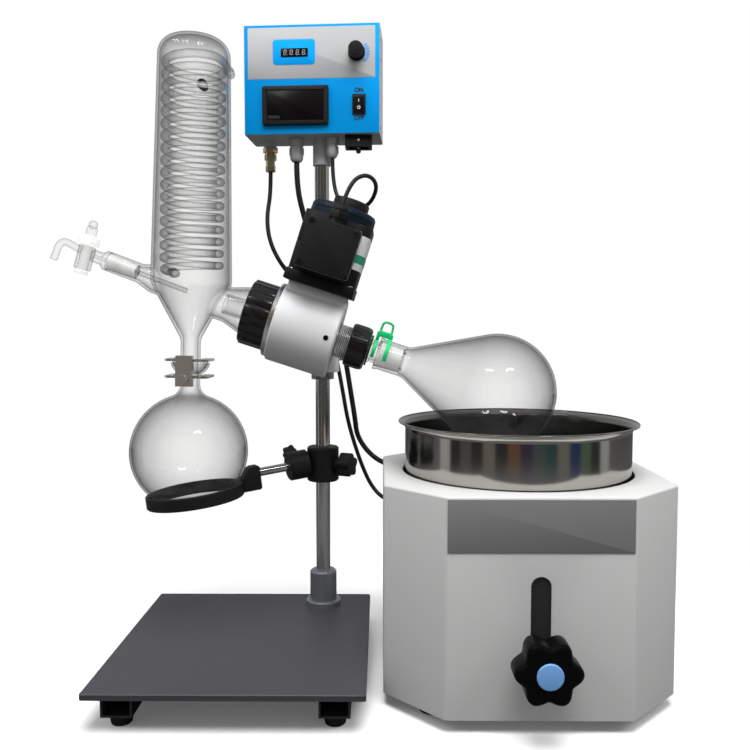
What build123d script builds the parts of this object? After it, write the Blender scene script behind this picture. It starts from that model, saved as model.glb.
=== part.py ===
from build123d import *
import os
from math import cos, hypot, pi, radians, sin, sqrt, tan

# Rotary evaporator for 1 litre flasks, with a heating bath that stands beside it. Millimetres.
# X points to the right, Y away from the user, Z up from the bench. The origin is on the bench, under
# the middle of the object.

os.makedirs("parts", exist_ok=True)

# Fits and gaps shared by many pieces
running_gap = 0.05
seat_gap = 0.1
sliding_gap = 0.3
glass_wall = 2.2
sheet = 1.5
edge_chamfer = 0.8
thread_clearance = 0.5

# Stand
plate_right = 56.5
plate_behind = 36
plate_width = 265
plate_depth = 280
plate_thick = 6
plate_corner = 3
foot_height = 12
foot_top_radius = 12
foot_bottom_radius = 10
foot_inset = 31
foot_hole_radius = 3
foot_hole_depth = 4
rail_width = 30
rail_height = 23
rail_wall = 2
rail_inset = 15
rail_setback = 14
plate_bottom = foot_height + rail_height
plate_top = plate_bottom + plate_thick
column_x = -31
column_y = 112
column_radius = 8.5
column_wall = 2
socket_flange_radius = 21
socket_flange_height = 7
socket_radius = 16
socket_height = 43
socket_chamfer = 2
collar_radius = 13.5
collar_height = 8.5

# Drive head
head_x = -44
head_y = 50
head_z = 374.5
shaft_tilt = 18
housing_radius = 45
housing_half = 35
cavity_radius = 38
back_pad_radius = 24
back_pad_reach = 2
end_wall = 4
shaft_opening = 3
housing_chamfer = 1.5
pinion_hole = 13
clamp_width = 38
clamp_bottom = 324.5
clamp_height = 70
clamp_slit = 2.5
clamp_back = 24
clamp_corner = 5
clamp_screw_setback = 16.5
clamp_screw_head_radius = 4.25
clamp_screw_head = 4.5
clamp_screw_socket = 2.25
clamp_screw_short = 3
clamp_screw_radius = 2.5
clamp_screw_rise = 18
motor_pad_width = 52
motor_pad_half = 33
flange_start = 47.5
flange_size = 78
flange_thick = 12
flange_corner = 5
motor_size = 76
motor_corner = 14
gear_head_end = 90
motor_end = 126
motor_cap_radius = 36.5
motor_cap_height = 15
motor_cap_seam = 9
motor_cap_step = 1
motor_cap_round = 2.5
vent_cap_radius = 20
vent_cap_height = 11
vent_cap_shift = 5
vent_cap_chamfer = 1.5
terminal_width = 58
terminal_length = 54
terminal_start = 63
terminal_depth = 21
terminal_cover_thick = 3
terminal_corner = 3
terminal_screw_inset = 5
terminal_well_radius = 3
terminal_well_depth = 1.8
gland_radius = 10
gland_base = 5
gland_body = 16
gland_dome = 5
gland_dome_inset = 1.5
gland_dome_taper = 25
gland_hex_rise = 1
motor_cable_radius = 2.25

# Shaft train, with stations counted from the head's middle towards the evaporating flask
shaft_radius = 17.5
shaft_bore = 13.5
shaft_setback = 1
bearing_radius = 31
bearing_width = 14
shield_depth = 0.8
cover_thick = 5
cover_radius = 42
cover_bore = 22
spigot_radius = 31.5
spigot_length = 16
seal_thick = 3
seal_inset = 1
seal_reach = 6
cap_nut_radius = 37
cap_nut_lip = 5.5
cap_nut_chamfer = 3
cap_nut_lip_gap = 0.8
cap_nut_ribs = 12
cap_nut_rib_radius = 2.6
cap_nut_rib_offset = 0.6
cap_nut_band = 6
thread_radius = 19
thread_end = 60
nut_radius = 24
nut_start = 49
nut_end = 71.5
nut_lip_gap = 1.2
nut_front_chamfer = 2.5
nut_back_chamfer = 1
nut_slots = 2
nut_slot_width = 3
nut_slot_length = 8
duct_radius = 11.5
duct_wall = 2
duct_left = -96
duct_right = 114
duct_seat_length = 12
duct_taper = 2
duct_collar_rise = 2
duct_collar_start = 2
duct_collar_width = 2
duct_tip_wall = 1.5
joint_start = 84
joint_length = 27
joint_radius = 14.6
joint_taper = 0.05
gear_module = 1.25
pressure_angle = 20
pinion_teeth = 14
crown_teeth = 42
tooth_half = 0.82
tooth_addendum = 1.1
tooth_dedendum = 1.4
crown_face_inner = 24
crown_face_width = 6
crown_radius = 32
crown_disc = 9
pinion_overlap = 1
motor_shaft_radius = 5
motor_shaft_seat = 3

# Evaporating flask, a pear shape
flask_radius = 65.5
flask_centre = 224.2
flask_slope = 27.8
flask_neck_radius = 17.3
flask_neck_start = 82
flask_neck_fillet = 14
flask_bead_height = 4
flask_bead_rise = 0.9

# Green clip that keeps the flask on its cone
clip_leg = 6
clip_play = 0.5
clip_gap = 1.2
clip_thick = 3
clip_bar = 2
clip_rib = 1.5
clip_neck_start = 7
clip_loop_height = 8

# Condenser, with heights counted along its axis from where the shaft axis meets it
arm_reach = 71.5
condenser_lean = 1.5
jacket_top = 283
jacket_top_radius = 39.5
jacket_bottom = 11
jacket_bottom_radius = 44.5
jacket_wall = 2.5
jacket_fillet = 12
crown_rise = 6
dome_corner = 20
outlet_top = -52
outlet_radius = 11
coil_turns = 17.5
coil_radius = 30.7
coil_tube_radius = 4.5
coil_pitch = 13.2
coil_start = 24
coil_sections = 12
hose_end = 104
barb_ring = 1
barb_length = 16
barb_taper = 7
hose_bore_wall = 1.5
hose_bore_depth = 8
arm_radius = 20
arm_flange_radius = 31
arm_flange_thick = 5
arm_neck_radius = 27.5
arm_neck_length = 6
arm_cone_length = 23
feed_angle = 20.7
feed_arm_start = 61
feed_arm_end = 98
feed_arm_radius = 11
feed_arm_flare = 16
feed_tube_radius = 3
feed_tube_wall = 1
feed_tube_start = 5
feed_cone_large = 9.3
feed_cone_small = 8
feed_cone_setback = 3
feed_collar_width = 4
feed_neck_radius = 7
feed_arm_taper = 17
stopcock_reach = 125
stopcock_tilt = 16
barrel_radius = 9.2
barrel_up = 8
barrel_down = 19
key_radius = 6
key_head_radius = 11.5
key_head_height = 10
spout_radius = 4
spout_wall = 1.5
spout_bend = 9
spout_bore_depth = 10
spout_root = 5
spout_root_rise = 3
spout_run = 26
spout_rise = 14
spout_reach = 37
spout_drop = 7
key_shoulder = 1
key_tab = 12
key_tab_thick = 5
key_tab_height = 12
key_tab_rise = 5
key_ball = 5
key_ball_rise = 13
key_nut_rise = 1.5
key_nut_height = 4
vacuum_height = 240
nozzle_radius = 5
nozzle_wall = 2

# Ball joint and receiving flask, heights on the condenser axis
ball_shoulder = -76.1
ball_radius = 20.5
ball_centre = -72.3
ball_bottom = -91
cup_wall = 2.2
cup_top = -78.5
ball_bore = 8.4
receiver_centre = -178.4
receiver_radius = 65.5
receiver_fillet = 14
fork_width = 48
fork_slot = 24.6
fork_thick = 2.4
fork_upper = -76
fork_lower = -92
fork_body_width = 18
fork_body_top = -69.5
fork_body_bottom = -103
thumb_radius = 5
thumb_thread = 2.5
thumb_rise = 8
thumb_head = 6
thumb_reach = 9
fork_reach_front = 24
fork_reach_back = 20
fork_corner = 6
fork_body_depth = 8
fork_hole_depth = 20

# Support ring and boss head
ring_tilt = 7
ring_outer = 54.5
ring_inner = 49.5
ring_half_height = 7
ring_taper = 3
ring_lug_length = 16
ring_lug_width = 18
ring_lug_gap = 1
rod_bearing = 23.8
rod_radius = 5
rod_lift = 12
rod_start = 60
rod_end = 139
boss_radius = 19
boss_height = 42
boss_z = 214
boss_screw_radius = 3
boss_chamfer = 1
rod_overhang = 3
lug_radius = 17
lug_start = 112
lug_knob_radius = 9.5
star_radius = 14.5
boss_screw_angle = -25
lug_screw_rise = 25
star_lobes = 5
star_neck = 5
star_height = 16
lug_knob_neck = 1
lug_knob_height = 15

# Control box, turned a little on the column
box_turn = -3.5
box_width = 155
box_depth = 61
box_height = 122
box_bottom = 598
column_in_box = 70
box_shift = -7
box_front_gap = 1.5
box_chamfer = 2
panel_thick = 2
sleeve_radius = 10.4
sleeve_drop = 30
sleeve_rise = 26
sleeve_flange = 13
sleeve_flange_thick = 3
panel_gap = 0.2
display_x = -20
display_drop = 30.5
display_width = 50
display_height = 30
display_corner = 4
display_depth = 1.2
display_stand = 0.3
meter_x = -18.5
meter_z = 31.5
meter_width = 76
meter_height = 44
meter_depth = 4
meter_corner = 2
meter_frame = 6
meter_recess = 1
speed_knob_x = 44.5
speed_knob_drop = 32.5
speed_knob_radius = 9
speed_knob_height = 14
speed_knob_flutes = 16
speed_knob_taper = 2
speed_skirt_rise = 1.5
speed_skirt_thick = 2
spindle_radius = 3
spindle_length = 4
rocker_x = 47
rocker_z = 32
rocker_width = 13
rocker_height = 21
rocker_tilt = 10
rocker_short = 4
rocker_back = 3
rocker_thick = 7
rocker_hub = 3.6
rocker_hole_gap = 0.5

display_z = box_height - display_drop
speed_knob_z = box_height - speed_knob_drop
column_top = box_bottom + column_in_box

# Fittings under the box, each gland with its place, its reach below the box and its radius
connector_x = -93
connector_y = 122
connector_radius = 7
connector_length = 35
under_box_thread = 5.5
thread_rise = 3
connector_nut = 6
connector_nut_rise = 2
connector_body = 14
connector_tail_inset = 2
under_gland_nut = 8
under_gland_taper = 8
under_box = (
    (connector_x, connector_y, connector_length, connector_radius),
    (-60, 105, 27, 9),
    (-17.5, 98, 24, 7.5),
)
socket_x = 13
socket_y = 96
socket_width = 31
socket_depth = 24
socket_reach = 13
socket_corner = 2
socket_rim = 4
socket_pocket = 9

# Heating bath
bath_x = 186.5
bath_y = 22
bath_border = 24
bath_chamfer = 57
bath_foot_height = 13
bath_foot_radius = 15
bath_foot_chamfer = 1.5
bath_foot_inset = 6
pan_thick = 2
bath_top = 223
pot_radius = 121
pot_wall = 1.2
pot_gap = 3
pot_rim_width = 7.5
pot_rim_z = 277
pot_depth = 140
pot_corner = 16
slot_width = 19
slot_top = 149
stud_z = 74
stud_radius = 5
bracket_gap = 5.5
bracket_width = 40
bracket_thick = 3
bracket_drop = 20
bracket_boss_radius = 12
heater_radius = 98
heater_thick = 12
knob_radius = 31
knob_lobes = 6
knob_lobe_radius = 9
knob_neck_radius = 13
knob_neck = 14
knob_height = 31
knob_chamfer = 2
stud_overhang = 10
bath_gland_heights = (158, 204)
bath_gland_radius = 8.5
bath_gland_length = 16
bath_gland_step = 2

# Cables
sensor_cable_radius = 2.5
heater_cable_radius = 3.2
sensor_lead = 25
heater_lead = 28
motor_lead = 25
bath_lead = 23


# Frames
shaft_dir = Vector(cos(radians(shaft_tilt)), 0, -sin(radians(shaft_tilt)))
motor_dir = Vector(sin(radians(shaft_tilt)), 0, cos(radians(shaft_tilt)))
head_centre = Vector(head_x, head_y, head_z)
shaft_side = Plane(origin=head_centre, x_dir=shaft_dir, z_dir=(0, -1, 0))
shaft_axis = Axis(head_centre, shaft_dir)
motor_axis = Axis(head_centre, motor_dir)

glass_across = Vector(cos(radians(condenser_lean)), 0, -sin(radians(condenser_lean)))
glass_up = Vector(sin(radians(condenser_lean)), 0, cos(radians(condenser_lean)))
arm_face = housing_half + cover_thick + spigot_length + seal_thick + arm_flange_thick
condenser_reach = arm_face + arm_reach
glass_centre = head_centre - shaft_dir * condenser_reach
glass_side = Plane(origin=glass_centre, x_dir=glass_across, z_dir=(0, -1, 0))
glass_axis = Axis(glass_centre, glass_up)

feed_dir = Vector(-cos(radians(feed_angle)), 0, sin(radians(feed_angle)))
feed_side = Plane(origin=glass_centre, x_dir=feed_dir, z_dir=(0, 1, 0))
feed_axis = Axis(glass_centre, feed_dir)


def motor_plane(height):
    return Plane(origin=head_centre + motor_dir * height, x_dir=shaft_dir, z_dir=motor_dir)


def shaft_plane(station):
    return Plane(origin=head_centre + shaft_dir * station, x_dir=(0, 1, 0), z_dir=shaft_dir)


def glass_plane(height):
    return Plane(origin=glass_centre + glass_up * height, x_dir=glass_across, z_dir=glass_up)


def upright(x, y):
    return Plane(origin=(x, y, 0), x_dir=(1, 0, 0), z_dir=(0, -1, 0))


def front_plane(y):
    return Plane(origin=(0, y, 0), x_dir=(1, 0, 0), z_dir=(0, -1, 0))


# A rectangle of a turned profile, between two stations and two radii
def band(start, stop, inner, outer):
    with Locations(((start + stop) / 2, (inner + outer) / 2)):
        Rectangle(abs(stop - start), outer - inner)


# The same on a profile whose axis stands upright
def ring_band(inner, outer, start, stop):
    with Locations(((inner + outer) / 2, (start + stop) / 2)):
        Rectangle(outer - inner, abs(stop - start))


def outline(*points):
    Polygon(*points, align=None)


# Stand: plate on two box rails with four rubber feet
plate_x = column_x + plate_right - plate_width / 2
plate_y = column_y + plate_behind - plate_depth / 2
with BuildPart() as base_plate:
    with BuildSketch(Plane.XY.offset(plate_bottom)):
        with Locations((plate_x, plate_y)):
            RectangleRounded(plate_width, plate_depth, plate_corner)
    extrude(amount=plate_thick)
    chamfer(base_plate.faces().sort_by(Axis.Z)[-1].edges(), edge_chamfer)
base_plate.part.label = "base_plate"
export_step(base_plate.part, "parts/base_plate.step")

rail_spread = plate_width / 2 - rail_inset - rail_width / 2
rail_length = plate_depth - 2 * rail_setback
with BuildPart() as base_rails:
    with BuildSketch(front_plane(plate_y + rail_length / 2)):
        with Locations(
            (plate_x - rail_spread, foot_height + rail_height / 2),
            (plate_x + rail_spread, foot_height + rail_height / 2),
        ):
            Rectangle(rail_width, rail_height)
            Rectangle(rail_width - 2 * rail_wall, rail_height - 2 * rail_wall, mode=Mode.SUBTRACT)
    extrude(amount=rail_length)
base_rails.part.label = "base_rails"
export_step(base_rails.part, "parts/base_rails.step")

foot_spread = plate_depth / 2 - foot_inset
foot_spots = [
    (plate_x + side * rail_spread, plate_y + end * foot_spread) for side in (-1, 1) for end in (-1, 1)
]
with BuildPart() as base_feet:
    with Locations(foot_spots):
        Cone(
            foot_bottom_radius,
            foot_top_radius,
            foot_height,
            align=(Align.CENTER, Align.CENTER, Align.MIN),
        )
        Cylinder(
            foot_hole_radius,
            foot_hole_depth,
            align=(Align.CENTER, Align.CENTER, Align.MIN),
            mode=Mode.SUBTRACT,
        )
base_feet.part.label = "base_feet"
export_step(base_feet.part, "parts/base_feet.step")

column_side = upright(column_x, column_y)
column_axis = Axis((column_x, column_y, 0), (0, 0, 1))
with BuildPart() as column_socket:
    with BuildSketch(column_side):
        ring_band(
            column_radius + seat_gap, socket_flange_radius, plate_top, plate_top + socket_flange_height
        )
        ring_band(column_radius + seat_gap, socket_radius, plate_top, plate_top + socket_height)
    revolve(axis=column_axis)
    chamfer(column_socket.edges().group_by(Axis.Z)[-1].sort_by(SortBy.RADIUS)[-1], socket_chamfer)
column_socket.part.label = "column_socket"
export_step(column_socket.part, "parts/column_socket.step")

with BuildPart() as column:
    with BuildSketch(Plane.XY.offset(plate_top)):
        with Locations((column_x, column_y)):
            Circle(column_radius)
            Circle(column_radius - column_wall, mode=Mode.SUBTRACT)
    extrude(amount=column_top - plate_top)
column.part.label = "column"
export_step(column.part, "parts/column.step")

collar_top = clamp_bottom - seat_gap
with BuildPart() as lock_collar:
    with BuildSketch(column_side):
        ring_band(column_radius + seat_gap, collar_radius, collar_top - collar_height, collar_top)
    revolve(axis=column_axis)
lock_collar.part.label = "lock_collar"
export_step(lock_collar.part, "parts/lock_collar.step")

# Column clamp: a block split behind the column, with two cross screws
block_front = head_y + housing_radius + back_pad_reach
block_back = column_y + clamp_back
screw_y = column_y + clamp_screw_setback
screw_heights = [clamp_bottom + clamp_height / 2 + side * clamp_screw_rise for side in (-1, 1)]
with BuildPart() as column_clamp:
    with BuildSketch(Plane.XY.offset(clamp_bottom)):
        with Locations((column_x, (block_front + block_back) / 2)):
            RectangleRounded(clamp_width, block_back - block_front, clamp_corner)
        with Locations((column_x, column_y)):
            Circle(column_radius + running_gap, mode=Mode.SUBTRACT)
        with Locations((column_x, (column_y + block_back) / 2)):
            Rectangle(clamp_slit, block_back - column_y, mode=Mode.SUBTRACT)
    extrude(amount=clamp_height)
    with BuildSketch(Plane(origin=(column_x, 0, 0), x_dir=(0, 1, 0), z_dir=(1, 0, 0))):
        with Locations([(screw_y, height) for height in screw_heights]):
            Circle(clamp_screw_radius + seat_gap)
    extrude(amount=clamp_width, both=True, mode=Mode.SUBTRACT)
column_clamp.part.label = "column_clamp"
export_step(column_clamp.part, "parts/column_clamp.step")

clamp_side = column_x + clamp_width / 2
with BuildPart() as clamp_screws:
    with BuildSketch(Plane(origin=(clamp_side, 0, 0), x_dir=(0, 1, 0), z_dir=(1, 0, 0))):
        with Locations([(screw_y, height) for height in screw_heights]):
            Circle(clamp_screw_radius)
    extrude(amount=clamp_screw_short - clamp_width)
    with BuildSketch(Plane(origin=(clamp_side, 0, 0), x_dir=(0, 1, 0), z_dir=(1, 0, 0))):
        with Locations([(screw_y, height) for height in screw_heights]):
            Circle(clamp_screw_head_radius)
            RegularPolygon(clamp_screw_socket, 6, mode=Mode.SUBTRACT)
    extrude(amount=clamp_screw_head)
clamp_screws.part.label = "clamp_screws"
export_step(clamp_screws.part, "parts/clamp_screws.step")

# Head housing: a barrel on the shaft axis, a pad for the motor on top and a round pad behind
bearing_right_end = housing_half - end_wall
bearing_right_start = bearing_right_end - bearing_width
with BuildPart() as head_housing:
    with BuildSketch(shaft_side):
        band(-housing_half, housing_half, 0, housing_radius)
    revolve(axis=shaft_axis)
    chamfer(head_housing.edges().filter_by(GeomType.CIRCLE), housing_chamfer)
    with BuildSketch(motor_plane(0)):
        Rectangle(2 * motor_pad_half, motor_pad_width)
    extrude(amount=flange_start)
    with BuildSketch(Plane(origin=head_centre, x_dir=shaft_dir, z_dir=(0, 1, 0))):
        Circle(back_pad_radius)
    extrude(amount=block_front - head_y)
    with BuildSketch(shaft_side):
        band(-housing_half, bearing_right_start, 0, cavity_radius)
        band(bearing_right_start, bearing_right_end, 0, bearing_radius)
        band(bearing_right_end, housing_half, 0, shaft_radius + shaft_opening)
    revolve(axis=shaft_axis, mode=Mode.SUBTRACT)
    with BuildSketch(motor_plane(0)):
        Circle(pinion_hole)
    extrude(amount=flange_start, mode=Mode.SUBTRACT)
head_housing.part.label = "head_housing"
export_step(head_housing.part, "parts/head_housing.step")

cover_outside = -housing_half - cover_thick
spigot_end = cover_outside - spigot_length
with BuildPart() as end_cover:
    with BuildSketch(shaft_side):
        band(cover_outside, -housing_half, cover_bore, cover_radius)
        band(-housing_half, -housing_half + bearing_width, bearing_radius, cavity_radius - seat_gap)
        band(spigot_end, cover_outside, cover_bore, spigot_radius)
    revolve(axis=shaft_axis)
end_cover.part.label = "end_cover"
export_step(end_cover.part, "parts/end_cover.step")

bearing_left_start = -housing_half
with BuildPart() as shaft_bearings:
    with BuildSketch(shaft_side):
        for start in (bearing_left_start, bearing_right_start):
            band(start, start + bearing_width, shaft_radius, bearing_radius)
            for face in (start, start + bearing_width - shield_depth):
                with Locations((face + shield_depth / 2, (shaft_radius + bearing_radius) / 2)):
                    Rectangle(shield_depth, (bearing_radius - shaft_radius) / 2, mode=Mode.SUBTRACT)
    revolve(axis=shaft_axis)
shaft_bearings.part.label = "shaft_bearings"
export_step(shaft_bearings.part, "parts/shaft_bearings.step")

seal_end = spigot_end - seal_thick
with BuildPart() as shaft_seal:
    with BuildSketch(shaft_side):
        band(seal_end, spigot_end, duct_radius + running_gap, spigot_radius - seal_inset)
        band(spigot_end, spigot_end + seal_reach, duct_radius + running_gap, cover_bore - seat_gap)
    revolve(axis=shaft_axis)
shaft_seal.part.label = "shaft_seal"
export_step(shaft_seal.part, "parts/shaft_seal.step")

# Shaft train: hollow shaft, crown gear and the pinion of the motor
shaft_left = bearing_left_start + shaft_setback
thread_start = housing_half + thread_clearance
with BuildPart() as drive_shaft:
    with BuildSketch(shaft_side):
        band(shaft_left, thread_start, shaft_bore, shaft_radius - running_gap)
        band(thread_start, thread_end, shaft_bore, thread_radius)
    revolve(axis=shaft_axis)
    chamfer(
        drive_shaft.edges().filter_by(GeomType.CIRCLE).sort_by(shaft_axis)[-2:].sort_by(SortBy.RADIUS)[-1],
        edge_chamfer,
    )
drive_shaft.part.label = "drive_shaft"
export_step(drive_shaft.part, "parts/drive_shaft.step")

pinion_pitch_radius = gear_module * pinion_teeth / 2
crown_pitch_station = -pinion_pitch_radius
crown_root = crown_pitch_station - tooth_dedendum
crown_tip = crown_pitch_station + tooth_addendum
flank = tan(radians(pressure_angle))


def crown_tooth_plane(count):
    angle = 2 * pi * (count + 0.5) / crown_teeth
    outward = motor_dir * cos(angle) + Vector(0, 1, 0) * sin(angle)
    return Plane(origin=head_centre + outward * crown_face_inner, x_dir=shaft_dir, z_dir=outward)


crown_tooth_planes = [crown_tooth_plane(count) for count in range(crown_teeth)]
with BuildPart() as crown_gear:
    with BuildSketch(shaft_side):
        band(crown_root - crown_disc, crown_root, shaft_radius, crown_radius)
    revolve(axis=shaft_axis)
    with BuildSketch(*crown_tooth_planes):
        outline(
            (crown_root, -tooth_half - tooth_dedendum * flank),
            (crown_tip, -tooth_half + tooth_addendum * flank),
            (crown_tip, tooth_half - tooth_addendum * flank),
            (crown_root, tooth_half + tooth_dedendum * flank),
        )
    extrude(amount=crown_face_width)
crown_gear.part.label = "crown_gear"
export_step(crown_gear.part, "parts/crown_gear.step")

pinion_root = pinion_pitch_radius - tooth_dedendum
pinion_tip = pinion_pitch_radius + tooth_addendum
flange_end = flange_start + flange_thick
shaft_seat = flange_end + motor_shaft_seat
with BuildPart() as drive_pinion:
    with BuildSketch(motor_plane(crown_face_inner - pinion_overlap)):
        Circle(pinion_root)
        with PolarLocations(0, pinion_teeth):
            outline(
                (pinion_root - 1, -tooth_half - tooth_dedendum * flank),
                (pinion_tip, -tooth_half + tooth_addendum * flank),
                (pinion_tip, tooth_half - tooth_addendum * flank),
                (pinion_root - 1, tooth_half + tooth_dedendum * flank),
            )
    extrude(amount=crown_face_width + 2 * pinion_overlap)
    with BuildSketch(motor_plane(crown_face_inner)):
        Circle(motor_shaft_radius)
    extrude(amount=shaft_seat - crown_face_inner)
drive_pinion.part.label = "drive_pinion"
export_step(drive_pinion.part, "parts/drive_pinion.step")

# Gear motor: gear head with a square flange, squared body, round end cap and vent cap
with BuildPart() as gear_head:
    with BuildSketch(motor_plane(flange_start)):
        RectangleRounded(flange_size, flange_size, flange_corner)
    extrude(amount=flange_thick)
    with BuildSketch(motor_plane(flange_end)):
        RectangleRounded(motor_size, motor_size, motor_corner)
    extrude(amount=gear_head_end - flange_end)
    with BuildSketch(motor_plane(flange_start)):
        Circle(motor_shaft_radius + running_gap)
    extrude(amount=shaft_seat - flange_start + running_gap, mode=Mode.SUBTRACT)
gear_head.part.label = "gear_head"
export_step(gear_head.part, "parts/gear_head.step")

with BuildPart() as motor_body:
    with BuildSketch(motor_plane(gear_head_end)):
        RectangleRounded(motor_size, motor_size, motor_corner)
    extrude(amount=motor_end - gear_head_end)
motor_body.part.label = "motor_body"
export_step(motor_body.part, "parts/motor_body.step")

cap_end = motor_end + motor_cap_height
cap_top_radius = motor_cap_radius - motor_cap_step
with BuildPart() as motor_end_cap:
    with BuildSketch(shaft_side):
        outline(
            (0, motor_end),
            (motor_cap_radius, motor_end),
            (motor_cap_radius, motor_end + motor_cap_seam),
            (cap_top_radius, motor_end + motor_cap_seam + motor_cap_step),
            (cap_top_radius, cap_end - motor_cap_round),
            (cap_top_radius - motor_cap_round, cap_end),
            (0, cap_end),
        )
    revolve(axis=motor_axis)
motor_end_cap.part.label = "motor_end_cap"
export_step(motor_end_cap.part, "parts/motor_end_cap.step")

with BuildPart() as vent_cap:
    with BuildSketch(motor_plane(cap_end)):
        with Locations((vent_cap_shift, 0)):
            Circle(vent_cap_radius)
    extrude(amount=vent_cap_height)
    chamfer(vent_cap.edges().group_by(motor_axis)[-1], vent_cap_chamfer)
vent_cap.part.label = "vent_cap"
export_step(vent_cap.part, "parts/vent_cap.step")

box_back_y = head_y - motor_size / 2
terminal_front = box_back_y - terminal_depth
terminal_mid = terminal_start + terminal_length / 2
terminal_front_plane = Plane(
    origin=(head_x, terminal_front, head_z), x_dir=shaft_dir, z_dir=(0, -1, 0)
)
with BuildPart() as terminal_box:
    with BuildSketch(terminal_front_plane):
        with Locations((0, terminal_mid)):
            RectangleRounded(terminal_width, terminal_length, terminal_corner)
    extrude(amount=-terminal_depth)
terminal_box.part.label = "terminal_box"
export_step(terminal_box.part, "parts/terminal_box.step")

well_span_x = terminal_width - 2 * terminal_screw_inset
well_span_z = terminal_length - 2 * terminal_screw_inset
with BuildPart() as terminal_cover:
    with BuildSketch(terminal_front_plane):
        with Locations((0, terminal_mid)):
            RectangleRounded(terminal_width, terminal_length, terminal_corner)
    extrude(amount=terminal_cover_thick)
    chamfer(terminal_cover.faces().sort_by(Axis.Y)[0].edges(), edge_chamfer)
    with BuildSketch(terminal_front_plane.offset(terminal_cover_thick)):
        with Locations((0, terminal_mid)):
            with GridLocations(well_span_x, well_span_z, 2, 2):
                Circle(terminal_well_radius)
    extrude(amount=-terminal_well_depth, mode=Mode.SUBTRACT)
terminal_cover.part.label = "terminal_cover"
export_step(terminal_cover.part, "parts/terminal_cover.step")

terminal_end = terminal_start + terminal_length
gland_y = terminal_front + gland_radius
gland_plane = Plane(
    origin=Vector(head_x, gland_y, head_z) + motor_dir * terminal_end, x_dir=shaft_dir, z_dir=motor_dir
)
with BuildPart() as motor_gland:
    with BuildSketch(gland_plane):
        Circle(gland_radius - gland_hex_rise)
    extrude(amount=gland_base)
    with BuildSketch(gland_plane.offset(gland_base)):
        RegularPolygon(gland_radius + gland_hex_rise, 6, rotation=30)
    extrude(amount=gland_body - gland_dome)
    with BuildSketch(gland_plane.offset(gland_base + gland_body - gland_dome)):
        Circle(gland_radius - gland_dome_inset)
    extrude(amount=gland_dome, taper=gland_dome_taper)
terminal_gland = gland_plane.from_local_coords((0, 0, gland_base + gland_body))
motor_gland.part.label = "motor_gland"
export_step(motor_gland.part, "parts/motor_gland.step")

# Nuts on the shaft axis
flange_left = seal_end - arm_flange_thick
cap_nut_end = flange_left - cap_nut_lip
with BuildPart() as cap_nut:
    with BuildSketch(shaft_side):
        band(cap_nut_end, cover_outside - sliding_gap, spigot_radius + sliding_gap, cap_nut_radius)
        band(cap_nut_end, flange_left - sliding_gap, arm_neck_radius + cap_nut_lip_gap, cap_nut_radius)
    revolve(axis=shaft_axis)
    chamfer(cap_nut.edges().group_by(shaft_axis)[0].sort_by(SortBy.RADIUS)[-1], cap_nut_chamfer)
    with BuildSketch(shaft_plane(cap_nut_end)):
        with PolarLocations(cap_nut_radius + cap_nut_rib_offset, cap_nut_ribs):
            Circle(cap_nut_rib_radius)
    extrude(amount=cover_outside - sliding_gap - cap_nut_end - cap_nut_band, mode=Mode.SUBTRACT)
cap_nut.part.label = "cap_nut"
export_step(cap_nut.part, "parts/cap_nut.step")

nut_wall_start = thread_end + thread_clearance
with BuildPart() as release_nut:
    with BuildSketch(shaft_side):
        band(nut_start, nut_wall_start, thread_radius + sliding_gap, nut_radius)
        band(nut_wall_start, nut_end, duct_radius + nut_lip_gap, nut_radius)
    revolve(axis=shaft_axis)
    chamfer(release_nut.edges().group_by(shaft_axis)[-1].sort_by(SortBy.RADIUS)[-1], nut_front_chamfer)
    chamfer(release_nut.edges().group_by(shaft_axis)[0].sort_by(SortBy.RADIUS)[-1], nut_back_chamfer)
    with BuildSketch(shaft_plane(nut_end)):
        with PolarLocations(nut_radius, nut_slots, start_angle=45):
            Rectangle(nut_slot_width, nut_slot_width)
    extrude(amount=-nut_slot_length, mode=Mode.SUBTRACT)
release_nut.part.label = "release_nut"
export_step(release_nut.part, "parts/release_nut.step")

# Vapour duct: a glass tube through the hollow shaft, ending in a ground cone
duct_bore = duct_radius - duct_wall
joint_end = joint_start + joint_length
cone_small = joint_radius - joint_length * joint_taper
collar_left = nut_end + duct_collar_start
collar_right = collar_left + duct_collar_width
with BuildPart() as vapour_duct:
    with BuildSketch(shaft_side):
        outline(
            (duct_left, duct_bore),
            (duct_left, duct_radius),
            (thread_end - duct_seat_length, duct_radius),
            (thread_end - duct_seat_length + duct_taper, shaft_bore - seat_gap),
            (thread_end, shaft_bore - seat_gap),
            (thread_end + sliding_gap, duct_radius),
            (collar_left - 1, duct_radius),
            (collar_left, duct_radius + duct_collar_rise),
            (collar_right, duct_radius + duct_collar_rise),
            (collar_right + 1, duct_radius),
            (joint_start - duct_taper, duct_radius + 1),
            (joint_start, joint_radius),
            (joint_end, cone_small),
            (joint_end + 1, duct_bore + duct_tip_wall),
            (duct_right, duct_bore + duct_tip_wall),
            (duct_right, duct_bore),
        )
    revolve(axis=shaft_axis)
vapour_duct.part.label = "vapour_duct"
export_step(vapour_duct.part, "parts/vapour_duct.step")


# Evaporating flask: a pear with a straight cone tangent to its ball, and a ground socket in its neck
def pear_corner(wall):
    slope = radians(flask_slope)
    neck = flask_neck_radius - wall
    radius = flask_radius - wall
    touch_radius = radius * cos(slope)
    return flask_centre - radius * sin(slope) - (touch_radius - neck) / tan(slope)


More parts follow.
